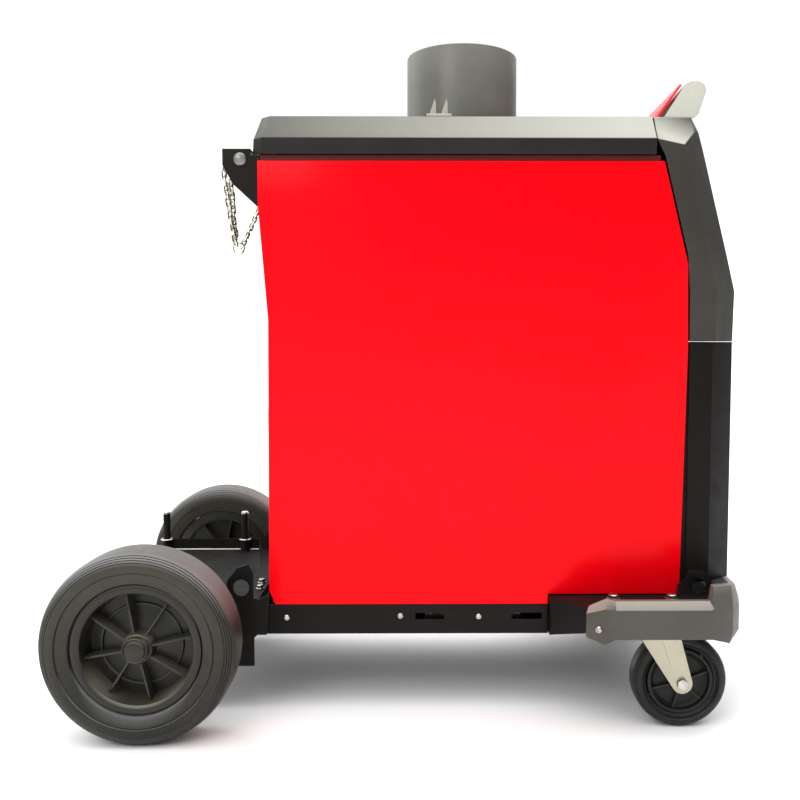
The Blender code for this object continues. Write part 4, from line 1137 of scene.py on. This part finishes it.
# ---- wire feeder --------------------------------------------------------
form = bmesh.new()
ROLL_X, ROLL_Z = 0.215, 0.480
FEED_Y, FEED_Z = 0.0175, ROLL_Z + 0.0195
for start, end in ((0.128, 0.188), (0.242, 0.302)):
    wire(form, [Vector((x, FEED_Y, FEED_Z)) for x in (start, end)], 0.0030, 16)
    block(form, ((start + end) / 2 - 0.010, 0.0066, FEED_Z - 0.008),
          ((start + end) / 2 + 0.010, 0.0235, FEED_Z + 0.008))
soften(form, 0.0004, 2, 60.0)
add_piece("wire_guides", form, BRASS, "machine")
heads = [((x, 0.0066, z), "Y") for x in (0.140, 0.290) for z in (0.430, 0.580)]
heads += [((ROLL_X + 0.033 * math.cos(a), 0.0066, ROLL_Z + 0.033 * math.sin(a)), "Y")
          for a in (3.9, 5.5)]
fasteners("feeder_screws", button_screw, heads, STEEL, radius=0.0042, height=0.0024)
form = bmesh.new()
lathe(form, [(0.0, 0.0052), (0.0050, 0.0052), (0.0066, 0.0036), (0.0070, 0.0),
             (0.0, 0.0)], aim("Y", (ROLL_X, 0.0236, ROLL_Z)), 32)
add_piece("roll_screw", form, STEEL, "roll")
form = bmesh.new()
coils = [Vector((0.262 + x, FEED_Y + y, 0.5490 + 0.0042 * i / 60))
         for i, (x, y) in enumerate(ring_points(0.0074, 12) * 5)]
wire(form, coils, 0.0007, 6)
add_piece("tension_spring", form, STEEL, "arm")

# ---- CAD nodes shown as they are ----------------------------------------
for name, node in frame["nodes"].items():
    if not node.hide_render:
        node.data.materials.clear()
        node.data.materials.append(BLACK_PLASTIC)

# ---- stage, light and camera --------------------------------------------
scene = bpy.context.scene
scene.view_settings.view_transform = "Standard"

floor_mesh = bpy.data.meshes.new("floor")
floor_mesh.from_pydata([(-40, -40, 0), (40, -40, 0), (40, 40, 0), (-40, 40, 0)], [],
                       [(0, 1, 2, 3)])
floor = bpy.data.objects.new("floor", floor_mesh)
scene.collection.objects.link(floor)
pale = Finish("pale_floor", (0.93, 0.93, 0.93), 0.75)
pale.shader.inputs["Specular IOR Level"].default_value = 0.1
floor_mesh.materials.append(pale.material)

world = bpy.data.worlds.new("studio")
scene.world = world
world.use_nodes = True
sky = world.node_tree
heading = sky.nodes.new("ShaderNodeTexCoord")
split = sky.nodes.new("ShaderNodeSeparateXYZ")
sky.links.new(heading.outputs["Generated"], split.inputs["Vector"])


def ramp_along(axis, low, high, to_low, to_high):
    """Sky brightness that changes with one part of the direction."""
    ramp = sky.nodes.new("ShaderNodeMapRange")
    for key, value in zip(("From Min", "From Max", "To Min", "To Max"),
                          (low, high, to_low, to_high)):
        ramp.inputs[key].default_value = value
    sky.links.new(split.outputs[axis], ramp.inputs["Value"])
    return ramp.outputs["Result"]


def combine(operation, first, second):
    """Sum or product of two sky values."""
    both = sky.nodes.new("ShaderNodeMath")
    both.operation = operation
    sky.links.new(first, both.inputs[0])
    sky.links.new(second, both.inputs[1])
    return both.outputs["Value"]


level = combine("MULTIPLY", ramp_along("Y", -0.75, 0.15, 0.30, 1.0),
                ramp_along("X", 0.42, 0.80, 1.0, 0.12))
upper = combine("ADD", ramp_along("Z", 0.42, 0.80, 0.0, 1.5),
                ramp_along("Z", 0.05, 0.24, 0.65, 0.0))
backdrop = sky.nodes["Background"]
backdrop.inputs["Color"].default_value = (1.0, 1.0, 1.0, 1.0)
sky.links.new(combine("ADD", level, upper), backdrop.inputs["Strength"])


def softbox(name, place, target, size, power):
    """Large area light turned to a point."""
    light = bpy.data.lights.new(name, "AREA")
    light.shape = "RECTANGLE"
    light.size, light.size_y = size
    light.energy = power
    lamp = bpy.data.objects.new(name, light)
    lamp.location = place
    aim_at = Vector(target) - Vector(place)
    lamp.rotation_mode = "QUATERNION"
    lamp.rotation_quaternion = aim_at.to_track_quat("-Z", "Y")
    scene.collection.objects.link(lamp)


softbox("top_light", (0.15, -0.35, 2.6), (0.02, 0.0, 0.4), (2.6, 2.0), 18)
softbox("near_light", (-1.2, -2.3, 1.9), (0.0, 0.0, 0.4), (1.2, 1.2), 18)
softbox("front_light", (2.3, -0.2, 1.3), (0.1, 0.0, 0.5), (1.3, 1.6), 1.5)
softbox("rear_light", (-2.2, 1.0, 1.5), (-0.1, 0.0, 0.4), (1.5, 1.5), 6)

camera_data = bpy.data.cameras.new("side_camera")
camera_data.sensor_width = 36.0
camera_data.lens = 40.35
camera_data.shift_x = -0.044
camera = bpy.data.objects.new("side_camera", camera_data)
camera.location = (0.028, -1.3753, 0.5133)
camera.rotation_euler = (math.pi / 2 - 0.0662, 0.0, -0.0077)
scene.collection.objects.link(camera)
scene.camera = camera
